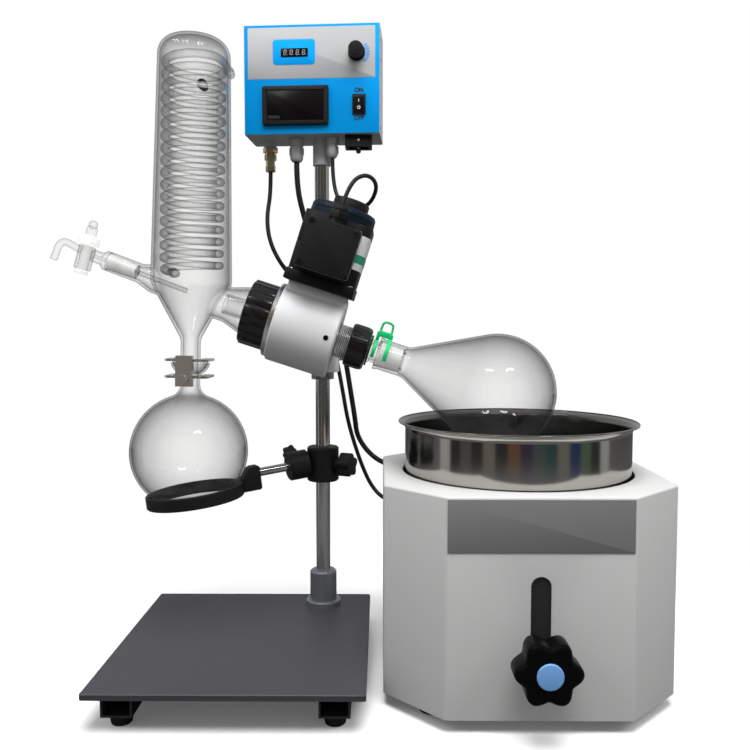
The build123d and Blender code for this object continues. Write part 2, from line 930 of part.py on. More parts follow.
def pear_outline(wall):
    slope = radians(flask_slope)
    neck = flask_neck_radius - wall
    radius = flask_radius - wall
    half_turn = radians(90 + flask_slope) / 2
    touch = (flask_centre - radius * sin(slope), radius * cos(slope))
    pole = (flask_centre + radius, 0)
    with BuildLine() as pear:
        Polyline((flask_neck_start, 0), (flask_neck_start, neck), (pear_corner(wall), neck), touch)
        ThreePointArc(touch, (flask_centre + radius * cos(half_turn), radius * sin(half_turn)), pole)
        Line(pole, (flask_neck_start, 0))
    make_face(pear.edges())


with BuildPart() as evaporating_flask:
    with BuildSketch(shaft_side) as flask_outer:
        pear_outline(0)
        corner = (pear_corner(0), flask_neck_radius, 0)
        fillet(flask_outer.vertices().sort_by_distance(corner)[0], flask_neck_fillet)
        band(flask_neck_start, flask_neck_start + flask_bead_height, 0, flask_neck_radius + flask_bead_rise)
    revolve(axis=shaft_axis)
    with BuildSketch(shaft_side) as flask_inner:
        pear_outline(glass_wall)
        corner = (pear_corner(glass_wall), flask_neck_radius - glass_wall, 0)
        fillet(flask_inner.vertices().sort_by_distance(corner)[0], flask_neck_fillet + glass_wall)
    revolve(axis=shaft_axis, mode=Mode.SUBTRACT)
    with BuildSketch(shaft_side):
        outline(
            (flask_neck_start, joint_radius + (joint_start - flask_neck_start) * joint_taper + seat_gap),
            (flask_neck_start, flask_neck_radius - glass_wall / 2),
            (joint_end, flask_neck_radius - glass_wall / 2),
            (joint_end, cone_small + seat_gap),
        )
    revolve(axis=shaft_axis)
evaporating_flask.part.label = "evaporating_flask"
export_step(evaporating_flask.part, "parts/evaporating_flask.step")

# Green joint clip: one leg over the duct, one over the flask's neck, a bridge with a spring loop on top
clip_left = collar_right + clip_play
clip_left_end = flask_neck_start - clip_play
clip_right = flask_neck_start + clip_neck_start
clip_outer = flask_neck_radius + clip_thick
clip_top = clip_outer + clip_loop_height
clip_open = 2 * (clip_outer - clip_leg)
with BuildPart() as joint_clip:
    with BuildSketch(shaft_plane(clip_left)):
        Circle(duct_radius + clip_thick + clip_gap)
        Circle(duct_radius + clip_gap, mode=Mode.SUBTRACT)
        with Locations((0, -clip_outer)):
            Rectangle(2 * clip_outer, clip_open, mode=Mode.SUBTRACT)
    extrude(amount=clip_left_end - clip_left)
    with BuildSketch(shaft_plane(clip_right)):
        Circle(clip_outer)
        Circle(flask_neck_radius + sliding_gap, mode=Mode.SUBTRACT)
        with Locations((0, -clip_outer)):
            Rectangle(2 * clip_outer, clip_open, mode=Mode.SUBTRACT)
    extrude(amount=clip_leg)
    with BuildSketch(shaft_side.offset(-clip_leg)):
        outline(
            (clip_left, duct_radius + clip_bar),
            (clip_left, clip_outer),
            (clip_left + clip_bar, clip_outer + clip_bar),
            (clip_left + clip_bar, clip_top),
            (clip_right + clip_bar, clip_top),
            (clip_right + clip_bar, clip_outer - clip_bar),
            (clip_right - 1, flask_neck_radius + clip_gap),
            (clip_left_end, flask_neck_radius + clip_gap),
            (clip_left_end, duct_radius + clip_thick),
        )
        with Locations(((clip_left + clip_right) / 2 + clip_bar, clip_outer + clip_loop_height / 2)):
            Rectangle(
                clip_right - clip_left - 2 * clip_bar - 1, clip_loop_height - 2 * clip_rib, mode=Mode.SUBTRACT
            )
    extrude(amount=2 * clip_leg)
joint_clip.part.label = "joint_clip"
export_step(joint_clip.part, "parts/joint_clip.step")


# Cooling coil: a helix of short straight tube lengths, with both ends led out through the jacket's back
def coil_plane(step):
    turn = step / coil_sections
    angle = pi + 2 * pi * turn
    outward = glass_across * cos(angle) + Vector(0, 1, 0) * sin(angle)
    onward = Vector(0, 1, 0) * cos(angle) - glass_across * sin(angle)
    climb = glass_up * coil_pitch / (2 * pi * coil_radius)
    height = coil_start + coil_pitch * turn
    origin = glass_centre + glass_up * height + outward * coil_radius
    return Plane(origin=origin, x_dir=outward, z_dir=onward + climb)


def barb_plane(side, height, distance):
    origin = glass_centre + glass_up * height + glass_across * side * coil_radius + Vector(0, distance, 0)
    return Plane(origin=origin, x_dir=glass_across, z_dir=(0, 1, 0))


coil_steps = round(coil_turns * coil_sections)
coil_end_height = coil_start + coil_turns * coil_pitch
hose_reach = hose_end - head_y
barb_bottom_plane = barb_plane(-1, coil_start, 0)
barb_top_plane = barb_plane(1, coil_end_height, 0)
with BuildPart() as condenser_coil:
    with BuildSketch(*[coil_plane(step) for step in range(coil_steps + 1)]):
        RegularPolygon(coil_tube_radius, 8)
    loft(ruled=True)
    with BuildSketch(barb_bottom_plane, barb_top_plane):
        Circle(coil_tube_radius)
    extrude(amount=hose_reach)
    with BuildSketch(
        barb_plane(-1, coil_start, hose_reach - barb_length),
        barb_plane(1, coil_end_height, hose_reach - barb_length),
    ):
        Circle(coil_tube_radius + barb_ring)
    extrude(amount=barb_length / 2, taper=barb_taper)
    with BuildSketch(
        barb_plane(-1, coil_start, hose_reach),
        barb_plane(1, coil_end_height, hose_reach),
    ):
        Circle(coil_tube_radius - hose_bore_wall)
    extrude(amount=-hose_bore_depth, mode=Mode.SUBTRACT)
condenser_coil.part.label = "condenser_coil"
export_step(condenser_coil.part, "parts/condenser_coil.step")

# Condenser jacket, with the arm to the drive head and the arm of the feed stopcock
arm_inner_radius = arm_radius - jacket_wall
arm_flange_left = condenser_reach + flange_left
arm_cone_end = arm_flange_left - arm_neck_length
arm_cone_start = arm_cone_end - arm_cone_length


def jacket_outline(wall):
    bottom_slope = (jacket_bottom_radius - outlet_radius) / (jacket_bottom - outlet_top)
    slant = wall * hypot(1, bottom_slope) - wall
    top_radius = jacket_top_radius - wall
    crown_radius = (top_radius**2 + crown_rise**2) / (2 * crown_rise)
    half_drop = crown_radius - sqrt(crown_radius**2 - top_radius**2 / 4)
    with BuildLine() as jacket:
        Polyline(
            (0, outlet_top - 5),
            (outlet_radius - wall, outlet_top - 5),
            (outlet_radius - wall, outlet_top + slant),
            (jacket_bottom_radius - wall, jacket_bottom + slant),
            (top_radius, jacket_top - wall - crown_rise),
        )
        ThreePointArc(
            (top_radius, jacket_top - wall - crown_rise),
            (top_radius / 2, jacket_top - wall - half_drop),
            (0, jacket_top - wall),
        )
        Line((0, jacket_top - wall), (0, outlet_top - 5))
    make_face(jacket.edges())


with BuildPart() as condenser_jacket:
    with BuildSketch(glass_side) as jacket_outer:
        jacket_outline(0)
        corner = (jacket_bottom_radius, jacket_bottom, 0)
        fillet(jacket_outer.vertices().sort_by_distance(corner)[0], jacket_fillet)
        corner = (jacket_top_radius, jacket_top - crown_rise, 0)
        fillet(jacket_outer.vertices().sort_by_distance(corner)[0], dome_corner)
        ring_band(0, outlet_radius, ball_shoulder, outlet_top - 4)
    revolve(axis=glass_axis)
    with BuildSketch(glass_side):
        with Locations((0, ball_centre)):
            Circle(ball_radius)
            Rectangle(3 * ball_radius, 3 * ball_radius, align=(Align.MAX, Align.CENTER), mode=Mode.SUBTRACT)
        with Locations((0, ball_shoulder)):
            Rectangle(3 * ball_radius, 3 * ball_radius, align=(Align.MIN, Align.MIN), mode=Mode.SUBTRACT)
        with Locations((0, ball_bottom)):
            Rectangle(3 * ball_radius, 3 * ball_radius, align=(Align.MIN, Align.MAX), mode=Mode.SUBTRACT)
    revolve(axis=glass_axis)
    with BuildSketch(Plane(origin=glass_centre, x_dir=shaft_dir, z_dir=(0, -1, 0))):
        band(0, arm_flange_left, 0, arm_radius)
        outline(
            (arm_cone_start, 0),
            (arm_cone_start, arm_radius),
            (arm_cone_end, arm_neck_radius),
            (arm_flange_left, arm_neck_radius),
            (arm_flange_left, arm_flange_radius),
            (arm_flange_left + arm_flange_thick, arm_flange_radius),
            (arm_flange_left + arm_flange_thick, 0),
        )
    revolve(axis=Axis(glass_centre, shaft_dir))
    with BuildSketch(feed_side):
        outline(
            (0, 0),
            (0, feed_arm_flare),
            (feed_arm_start - feed_arm_taper, feed_arm_flare),
            (feed_arm_start, feed_arm_radius),
            (feed_arm_end, feed_arm_radius),
            (feed_arm_end, 0),
        )
    revolve(axis=feed_axis)
    with BuildSketch(Plane(origin=glass_centre + glass_up * vacuum_height, x_dir=(1, 0, 0), z_dir=(0, 1, 0))):
        Circle(nozzle_radius)
    extrude(amount=hose_end - head_y)
    with BuildSketch(glass_side) as jacket_inner:
        jacket_outline(jacket_wall)
        corner = (jacket_bottom_radius - jacket_wall, jacket_bottom + jacket_wall / 8, 0)
        fillet(jacket_inner.vertices().sort_by_distance(corner)[0], jacket_fillet - jacket_wall)
        corner = (jacket_top_radius - jacket_wall, jacket_top - jacket_wall - crown_rise, 0)
        fillet(jacket_inner.vertices().sort_by_distance(corner)[0], dome_corner - jacket_wall)
        ring_band(0, ball_bore, ball_bottom - 1, outlet_top)
    revolve(axis=glass_axis, mode=Mode.SUBTRACT)
    with BuildSketch(Plane(origin=glass_centre, x_dir=shaft_dir, z_dir=(0, -1, 0))):
        outline(
            (0, 0),
            (0, arm_inner_radius),
            (arm_cone_start, arm_inner_radius),
            (arm_cone_end, arm_neck_radius - jacket_wall),
            (arm_flange_left + arm_flange_thick, arm_neck_radius - jacket_wall),
            (arm_flange_left + arm_flange_thick, 0),
        )
    revolve(axis=Axis(glass_centre, shaft_dir), mode=Mode.SUBTRACT)
    with BuildSketch(feed_side):
        outline(
            (0, 0),
            (0, feed_arm_flare - jacket_wall),
            (feed_arm_start - feed_arm_taper - 1, feed_arm_flare - jacket_wall),
            (feed_arm_start, feed_cone_small + seat_gap),
            (feed_arm_end, feed_cone_large + seat_gap),
            (feed_arm_end, 0),
        )
    revolve(axis=feed_axis, mode=Mode.SUBTRACT)
    with BuildSketch(Plane(origin=glass_centre + glass_up * vacuum_height, x_dir=(1, 0, 0), z_dir=(0, 1, 0))):
        Circle(nozzle_radius - nozzle_wall)
    extrude(amount=hose_end - head_y + 1, mode=Mode.SUBTRACT)
    with BuildSketch(barb_bottom_plane, barb_top_plane):
        Circle(coil_tube_radius + running_gap)
    extrude(amount=hose_end - head_y, mode=Mode.SUBTRACT)
condenser_jacket.part.label = "condenser_jacket"
export_step(condenser_jacket.part, "parts/condenser_jacket.step")

# Feed stopcock: a ground cone with a feed tube, a barrel for the key and a bent spout
barrel_dir = Vector(sin(radians(stopcock_tilt)), 0, cos(radians(stopcock_tilt)))
barrel_across = Vector(cos(radians(stopcock_tilt)), 0, -sin(radians(stopcock_tilt)))
barrel_centre = glass_centre + feed_dir * stopcock_reach
barrel_side = Plane(origin=barrel_centre, x_dir=barrel_across, z_dir=(0, -1, 0))
barrel_axis = Axis(barrel_centre, barrel_dir)
spout_start = barrel_centre + Vector(-spout_root, 0, spout_root_rise)
spout_corner = barrel_centre + Vector(-spout_run, 0, spout_rise)
spout_mouth = barrel_centre + Vector(-spout_reach, 0, -spout_drop)
with BuildPart() as stopcock_body:
    with BuildSketch(feed_side):
        outline(
            (feed_tube_start, 0),
            (feed_tube_start, feed_tube_radius),
            (feed_arm_start + feed_cone_setback, feed_tube_radius),
            (feed_arm_start + feed_cone_setback, feed_cone_small),
            (feed_arm_end, feed_cone_large),
            (feed_arm_end + sliding_gap, feed_arm_radius),
            (feed_arm_end + feed_collar_width, feed_arm_radius),
            (feed_arm_end + feed_collar_width + 2, feed_neck_radius),
            (stopcock_reach, feed_neck_radius),
            (stopcock_reach, 0),
        )
    revolve(axis=feed_axis)
    with BuildSketch(barrel_side):
        ring_band(0, barrel_radius, -barrel_down, barrel_up)
    revolve(axis=barrel_axis)
    with BuildLine() as spout_line:
        FilletPolyline(spout_start, spout_corner, spout_mouth, radius=spout_bend)
    with BuildSketch(spout_line.line ^ 0):
        Circle(spout_radius)
    sweep()
    with BuildSketch(barrel_side):
        ring_band(0, key_radius + running_gap, -barrel_down, barrel_up)
    revolve(axis=barrel_axis, mode=Mode.SUBTRACT)
    with BuildSketch(Plane(origin=spout_mouth, z_dir=spout_mouth - spout_corner)):
        Circle(spout_radius - spout_wall)
    extrude(amount=-spout_bore_depth, mode=Mode.SUBTRACT)
    with BuildSketch(Plane(origin=glass_centre + feed_dir * feed_tube_start, z_dir=feed_dir)):
        Circle(feed_tube_radius - feed_tube_wall)
    extrude(amount=feed_arm_end - feed_tube_start, mode=Mode.SUBTRACT)
stopcock_body.part.label = "stopcock_body"
export_step(stopcock_body.part, "parts/stopcock_body.step")

key_head_bottom = barrel_up + key_shoulder
key_top = key_head_bottom + key_head_height
key_nut_top = -barrel_down - key_shoulder
with BuildPart() as stopcock_key:
    with BuildSketch(barrel_side):
        ring_band(0, key_radius, key_nut_top - key_shoulder, key_head_bottom)
        ring_band(0, key_head_radius, key_head_bottom, key_top)
        ring_band(0, key_radius + key_nut_rise, key_nut_top - key_nut_height, key_nut_top)
    revolve(axis=barrel_axis)
    with BuildSketch(barrel_side.offset(-key_tab_thick / 2)):
        with Locations((0, key_top + key_tab_rise)):
            Rectangle(key_tab, key_tab_height)
    extrude(amount=key_tab_thick)
    with BuildSketch(barrel_side):
        with Locations((0, key_top + key_ball_rise)):
            Circle(key_ball)
            Rectangle(4 * key_ball, 4 * key_ball, align=(Align.MAX, Align.CENTER), mode=Mode.SUBTRACT)
    revolve(axis=barrel_axis)
stopcock_key.part.label = "stopcock_key"
export_step(stopcock_key.part, "parts/stopcock_key.step")

# Ball joint clamp: two forks held by a body in front, with a thumbscrew
fork_front = head_y - fork_reach_front
fork_back = head_y + fork_reach_back
body_front = fork_front - fork_body_depth
clamp_screw_plane = Plane(
    origin=glass_centre + glass_up * (fork_body_bottom + thumb_rise) + Vector(0, body_front - head_y, 0),
    z_dir=(0, -1, 0),
)
with BuildPart() as receiver_clamp:
    with BuildSketch(glass_plane(fork_upper), glass_plane(fork_lower - fork_thick)):
        with Locations((0, (fork_front + fork_back) / 2 - head_y)):
            RectangleRounded(fork_width, fork_back - fork_front, fork_corner)
        Circle(fork_slot / 2, mode=Mode.SUBTRACT)
        with Locations((0, fork_slot)):
            Rectangle(fork_slot, 2 * fork_slot, mode=Mode.SUBTRACT)
    extrude(amount=fork_thick)
    with BuildSketch(glass_plane(fork_body_bottom)):
        with Locations((0, (body_front + fork_front) / 2 - head_y + 0.5)):
            Rectangle(fork_body_width, fork_front - body_front + 1)
    extrude(amount=fork_body_top - fork_body_bottom)
    with BuildSketch(clamp_screw_plane):
        Circle(thumb_thread + running_gap)
    extrude(amount=-fork_hole_depth, mode=Mode.SUBTRACT)
receiver_clamp.part.label = "receiver_clamp"
export_step(receiver_clamp.part, "parts/receiver_clamp.step")

with BuildPart() as clamp_thumbscrew:
    with BuildSketch(clamp_screw_plane):
        Circle(thumb_thread)
    extrude(amount=-thumb_reach)
    with BuildSketch(clamp_screw_plane.offset(sliding_gap)):
        Circle(thumb_radius)
    extrude(amount=thumb_head)
    with BuildSketch(clamp_screw_plane):
        Circle(thumb_thread)
    extrude(amount=1)
clamp_thumbscrew.part.label = "clamp_thumbscrew"
export_step(clamp_thumbscrew.part, "parts/clamp_thumbscrew.step")

# Receiving flask: ball joint cup, short neck and a ball
cup_outer = ball_radius + seat_gap + cup_wall


def ball_outline(wall):
    radius = receiver_radius - wall
    neck = outlet_radius - wall
    with Locations((0, receiver_centre)):
        Circle(radius)
    ring_band(0, neck, receiver_centre, ball_bottom)
    with Locations((0, receiver_centre)):
        Rectangle(4 * radius, 8 * radius, align=(Align.MAX, Align.CENTER), mode=Mode.SUBTRACT)
    return (neck, receiver_centre + sqrt(radius**2 - neck**2), 0)


with BuildPart() as receiving_flask:
    with BuildSketch(glass_side) as receiver_outer:
        corner = ball_outline(0)
        fillet(receiver_outer.vertices().sort_by_distance(corner)[0], receiver_fillet)
    revolve(axis=glass_axis)
    with BuildSketch(glass_side):
        with Locations((0, ball_centre)):
            Circle(cup_outer)
            Rectangle(4 * cup_outer, 4 * cup_outer, align=(Align.MAX, Align.CENTER), mode=Mode.SUBTRACT)
        with Locations((0, cup_top)):
            Rectangle(4 * cup_outer, 2 * cup_outer, align=(Align.MIN, Align.MIN), mode=Mode.SUBTRACT)
    revolve(axis=glass_axis)
    with BuildSketch(glass_side) as receiver_inner:
        corner = ball_outline(glass_wall)
        fillet(receiver_inner.vertices().sort_by_distance(corner)[0], receiver_fillet + glass_wall)
    revolve(axis=glass_axis, mode=Mode.SUBTRACT)
    with BuildSketch(glass_side):
        with Locations((0, ball_centre)):
            Circle(ball_radius + seat_gap)
            Rectangle(4 * cup_outer, 4 * cup_outer, align=(Align.MAX, Align.CENTER), mode=Mode.SUBTRACT)
    revolve(axis=glass_axis, mode=Mode.SUBTRACT)
receiving_flask.part.label = "receiving_flask"
export_step(receiving_flask.part, "parts/receiving_flask.step")

# Support ring under the receiving flask, on a rod held by a boss head on the column
ring_up = Vector(-sin(radians(ring_tilt)), 0, cos(radians(ring_tilt)))
ring_across = Vector(cos(radians(ring_tilt)), 0, sin(radians(ring_tilt)))
receiver_point = glass_centre + glass_up * receiver_centre
ring_drop = sqrt((receiver_radius + sliding_gap) ** 2 - ring_inner**2) - ring_half_height
ring_centre = receiver_point - ring_up * (ring_drop + 2 * ring_half_height)
rod_dir = ring_across * cos(radians(rod_bearing)) + Vector(0, 1, 0) * sin(radians(rod_bearing))
rod_side_dir = Vector(0, 1, 0) * cos(radians(rod_bearing)) - ring_across * sin(radians(rod_bearing))
rod_origin = ring_centre + ring_up * rod_lift
ring_lug_end = rod_start + ring_lug_length
ring_lug_plane = Plane(origin=ring_centre, x_dir=rod_dir, z_dir=-rod_side_dir)
ring_inner_low = ring_inner - ring_taper
lug_top = rod_lift + ring_lug_width / 2
lug_inside = sqrt((receiver_radius + ring_lug_gap) ** 2 - (ring_drop + 2 * ring_half_height - lug_top) ** 2)
with BuildPart() as support_ring:
    with BuildSketch(ring_lug_plane):
        outline(
            (ring_inner_low, -ring_half_height),
            (ring_outer, -ring_half_height),
            (ring_outer, ring_half_height),
            (ring_inner, ring_half_height),
        )
    revolve(axis=Axis(ring_centre, ring_up))
    with BuildSketch(ring_lug_plane.offset(-ring_lug_width / 2)):
        outline(
            (ring_inner + 1, -ring_half_height),
            (ring_inner + 1, ring_half_height),
            (lug_inside, lug_top),
            (ring_lug_end, lug_top),
            (ring_lug_end, -ring_half_height),
        )
    extrude(amount=ring_lug_width)
    with BuildSketch(Plane(origin=rod_origin + rod_dir * rod_start, z_dir=rod_dir)):
        Circle(rod_radius + seat_gap)
    extrude(amount=ring_lug_end, mode=Mode.SUBTRACT)
support_ring.part.label = "support_ring"
export_step(support_ring.part, "parts/support_ring.step")

with BuildPart() as ring_rod:
    with BuildSketch(Plane(origin=rod_origin + rod_dir * (rod_start + 1), z_dir=rod_dir)):
        Circle(rod_radius)
    extrude(amount=rod_end - rod_start - 1)
ring_rod.part.label = "ring_rod"
export_step(ring_rod.part, "parts/ring_rod.step")

boss_centre = Vector(column_x, column_y, boss_z)
boss_screw_dir = Vector(cos(radians(boss_screw_angle)), sin(radians(boss_screw_angle)), 0)
boss_screw_plane = Plane(origin=boss_centre, z_dir=boss_screw_dir)
lug_end = rod_end - rod_overhang
lug_mid = (lug_start + lug_end) / 2
lug_centre = rod_origin + rod_dir * lug_mid
lug_screw_dir = rod_side_dir * cos(radians(lug_screw_rise)) + ring_up * sin(radians(lug_screw_rise))
lug_screw_plane = Plane(origin=lug_centre, z_dir=lug_screw_dir)
with BuildPart() as boss_head:
    with BuildSketch(Plane.XY.offset(boss_z - boss_height / 2)):
        with Locations((column_x, column_y)):
            Circle(boss_radius)
    extrude(amount=boss_height)
    with BuildSketch(Plane(origin=rod_origin + rod_dir * lug_start, z_dir=rod_dir)):
        Circle(lug_radius)
    extrude(amount=lug_end - lug_start)
    chamfer(boss_head.edges().filter_by(GeomType.CIRCLE).sort_by(SortBy.RADIUS)[-2:], boss_chamfer)
    with BuildSketch(Plane.XY.offset(boss_z - boss_height / 2)):
        with Locations((column_x, column_y)):
            Circle(column_radius + running_gap)
    extrude(amount=boss_height, mode=Mode.SUBTRACT)
    with BuildSketch(Plane(origin=rod_origin + rod_dir * lug_start, z_dir=rod_dir)):
        Circle(rod_radius + running_gap)
    extrude(amount=rod_end - lug_start + 1, mode=Mode.SUBTRACT)
    with BuildSketch(boss_screw_plane):
        Circle(boss_screw_radius + running_gap)
    extrude(amount=2 * boss_radius, mode=Mode.SUBTRACT)
    with BuildSketch(lug_screw_plane):
        Circle(boss_screw_radius + running_gap)
    extrude(amount=2 * lug_radius, mode=Mode.SUBTRACT)
boss_head.part.label = "boss_head"
export_step(boss_head.part, "parts/boss_head.step")

# Star knobs of the boss head, each with its clamping screw
with BuildPart() as column_knob:
    with BuildSketch(boss_screw_plane.offset(column_radius + seat_gap)):
        Circle(boss_screw_radius)
    extrude(amount=boss_radius + star_neck - column_radius)
    with BuildSketch(boss_screw_plane.offset(boss_radius + star_neck)):
        Circle(star_radius)
        with PolarLocations(star_radius + 1, star_lobes):
            Circle(star_radius / 4, mode=Mode.SUBTRACT)
    extrude(amount=star_height)
    chamfer(column_knob.faces().sort_by(Axis((0, 0, 0), boss_screw_dir))[-1].edges(), edge_chamfer)
column_knob.part.label = "column_knob"
export_step(column_knob.part, "parts/column_knob.step")

lug_knob_start = lug_radius + lug_knob_neck
with BuildPart() as rod_knob:
    with BuildSketch(lug_screw_plane.offset(rod_radius + seat_gap)):
        Circle(boss_screw_radius)
    extrude(amount=lug_knob_start - rod_radius)
    with BuildSketch(lug_screw_plane.offset(lug_knob_start)):
        Circle(lug_knob_radius)
        with PolarLocations(lug_knob_radius + 1, star_lobes):
            Circle(lug_knob_radius / 4, mode=Mode.SUBTRACT)
    extrude(amount=lug_knob_height)
rod_knob.part.label = "rod_knob"
export_step(rod_knob.part, "parts/rod_knob.step")

# Control box on the column: sleeve, folded sheet case, blue front panel, knob and rocker switch
turn_x = Vector(cos(radians(box_turn)), sin(radians(box_turn)), 0)
turn_y = Vector(-sin(radians(box_turn)), cos(radians(box_turn)), 0)
box_front = -box_depth / 2 - box_front_gap
box_origin = Vector(column_x, column_y, box_bottom) + turn_x * box_shift + turn_y * box_front
box_plane = Plane(origin=box_origin, x_dir=turn_x, z_dir=(0, 0, 1))
panel_plane = Plane(origin=box_origin, x_dir=turn_x, z_dir=-turn_y)
with BuildPart() as control_sleeve:
    with BuildSketch(column_side):
        ring_band(
            column_radius + running_gap, sleeve_radius, box_bottom - sleeve_drop, box_bottom + sleeve_rise
        )
        ring_band(
            column_radius + running_gap,
            sleeve_flange,
            box_bottom + sheet,
            box_bottom + sheet + sleeve_flange_thick,
        )
    revolve(axis=column_axis)
control_sleeve.part.label = "control_sleeve"
export_step(control_sleeve.part, "parts/control_sleeve.step")

with BuildPart() as control_case:
    with BuildSketch(box_plane):
        with Locations((0, box_depth / 2)):
            Rectangle(box_width, box_depth)
    extrude(amount=box_height)
    chamfer(control_case.edges().filter_by(Axis.Z).sort_by(Axis.Y)[-2:], box_chamfer)
    with BuildSketch(box_plane.offset(sheet)):
        with Locations((0, box_depth / 2 - sheet)):
            Rectangle(box_width - 2 * sheet, box_depth)
    extrude(amount=box_height - 2 * sheet, mode=Mode.SUBTRACT)
    with BuildSketch(Plane.XY.offset(box_bottom - 1)):
        with Locations((column_x, column_y)):
            Circle(sleeve_radius + running_gap)
        with Locations([fitting[:2] for fitting in under_box]):
            Circle(under_box_thread + running_gap)
    extrude(amount=sheet + 2, mode=Mode.SUBTRACT)
control_case.part.label = "control_case"
export_step(control_case.part, "parts/control_case.step")

panel_inset = 2 * (sheet + panel_gap)
rocker_place = (rocker_x - box_shift, rocker_z)
speed_knob_place = (speed_knob_x - box_shift, speed_knob_z)
with BuildPart() as control_panel:
    with BuildSketch(panel_plane):
        with Locations((0, box_height / 2)):
            Rectangle(box_width - panel_inset, box_height - panel_inset)
    extrude(amount=-panel_thick)
    with BuildSketch(panel_plane.offset(-display_depth)):
        with Locations((display_x, display_z)):
            RectangleRounded(display_width, display_height, display_corner)
    extrude(amount=display_depth, mode=Mode.SUBTRACT)
    with BuildSketch(panel_plane):
        with Locations(speed_knob_place):
            Circle(spindle_radius + running_gap)
        with Locations(rocker_place):
            Rectangle(rocker_width + 2 * rocker_hole_gap, rocker_height + 2 * rocker_hole_gap)
    extrude(amount=-panel_thick, mode=Mode.SUBTRACT)
control_panel.part.label = "control_panel"
export_step(control_panel.part, "parts/control_panel.step")

with BuildPart() as display_window:
    with BuildSketch(panel_plane.offset(-display_depth)):
        with Locations((display_x, display_z)):
            RectangleRounded(
                display_width - 2 * running_gap, display_height - 2 * running_gap, display_corner
            )
    extrude(amount=display_depth + display_stand)
display_window.part.label = "display_window"
export_step(display_window.part, "parts/display_window.step")

with BuildPart() as panel_meter:
    with BuildSketch(panel_plane):
        with Locations((meter_x, meter_z)):
            RectangleRounded(meter_width, meter_height, meter_corner)
    extrude(amount=meter_depth)
    with BuildSketch(panel_plane.offset(meter_depth)):
        with Locations((meter_x, meter_z)):
            Rectangle(meter_width - 2 * meter_frame, meter_height - 2 * meter_frame)
    extrude(amount=-meter_recess, mode=Mode.SUBTRACT)
panel_meter.part.label = "panel_meter"
export_step(panel_meter.part, "parts/panel_meter.step")

with BuildPart() as speed_knob:
    with BuildSketch(panel_plane.offset(-panel_thick - spindle_length)):
        with Locations(speed_knob_place):
            Circle(spindle_radius)
    extrude(amount=panel_thick + spindle_length + speed_skirt_thick)
    with BuildSketch(panel_plane.offset(sliding_gap)):
        with Locations(speed_knob_place):
            Circle(speed_knob_radius + speed_skirt_rise)
    extrude(amount=speed_skirt_thick)
    with BuildSketch(panel_plane.offset(speed_skirt_thick)):
        with Locations(speed_knob_place):
            RegularPolygon(speed_knob_radius, speed_knob_flutes)
    extrude(amount=speed_knob_height, taper=speed_knob_taper)
speed_knob.part.label = "speed_knob"
export_step(speed_knob.part, "parts/speed_knob.step")

rocker_point = panel_plane.from_local_coords((*rocker_place, 0))
rocker_plane = Plane(origin=rocker_point, x_dir=turn_x, z_dir=-turn_y).rotated((rocker_tilt, 0, 0))
with BuildPart() as power_rocker:
    with BuildSketch(rocker_plane.offset(-rocker_back)):
        Rectangle(rocker_width, rocker_height - rocker_short)
    extrude(amount=rocker_thick)
    with BuildSketch(Plane(origin=rocker_point - turn_x * rocker_width / 2, z_dir=turn_x)):
        Circle(rocker_hub)
    extrude(amount=rocker_width)
power_rocker.part.label = "power_rocker"
export_step(power_rocker.part, "parts/power_rocker.step")

# Fittings under the box: brass connector, two cable glands, power socket
with BuildPart() as signal_connector:
    with BuildSketch(Plane.XY.offset(box_bottom)):
        with Locations((connector_x, connector_y)):
            Circle(under_box_thread)
    extrude(amount=sheet + thread_rise)
    with BuildSketch(Plane.XY.offset(box_bottom)):
        with Locations((connector_x, connector_y)):
            RegularPolygon(connector_radius + connector_nut_rise, 6)
    extrude(amount=-connector_nut)
    with BuildSketch(Plane.XY.offset(box_bottom - connector_nut)):
        with Locations((connector_x, connector_y)):
            Circle(connector_radius)
    extrude(amount=-connector_body)
    with BuildSketch(Plane.XY.offset(box_bottom - connector_nut - connector_body)):
        with Locations((connector_x, connector_y)):
            Circle(connector_radius - connector_tail_inset)
    extrude(amount=connector_nut + connector_body - connector_length)
signal_connector.part.label = "signal_connector"
export_step(signal_connector.part, "parts/signal_connector.step")

with BuildPart() as cable_glands:
    for gland_x, gland_y, gland_reach, gland_body_radius in under_box[1:]:
        with BuildSketch(Plane.XY.offset(box_bottom)):
            with Locations((gland_x, gland_y)):
                Circle(under_box_thread)
        extrude(amount=sheet + thread_rise)
        with BuildSketch(Plane.XY.offset(box_bottom)):
            with Locations((gland_x, gland_y)):
                RegularPolygon(gland_body_radius, 6)
        extrude(amount=-under_gland_nut)
        with BuildSketch(Plane.XY.offset(box_bottom - under_gland_nut)):
            with Locations((gland_x, gland_y)):
                Circle(gland_body_radius - 1)
        extrude(amount=under_gland_nut - gland_reach, taper=under_gland_taper)
cable_glands.part.label = "cable_glands"
export_step(cable_glands.part, "parts/cable_glands.step")

with BuildPart() as power_socket:
    with BuildSketch(Plane.XY.offset(box_bottom)):
        with Locations((socket_x, socket_y)):
            RectangleRounded(socket_width, socket_depth, socket_corner)
    extrude(amount=-socket_reach)
    with BuildSketch(Plane.XY.offset(box_bottom - socket_reach)):
        with Locations((socket_x, socket_y)):
            Rectangle(socket_width - 2 * socket_rim, socket_depth - 2 * socket_rim)
    extrude(amount=socket_pocket, mode=Mode.SUBTRACT)
power_socket.part.label = "power_socket"
export_step(power_socket.part, "parts/power_socket.step")

# Heating bath: eight-sided sheet shell, base pan, feet, pot with heater, lift bracket and star knob
half_bath = pot_radius + bath_border
front_wall_y = bath_y - half_bath


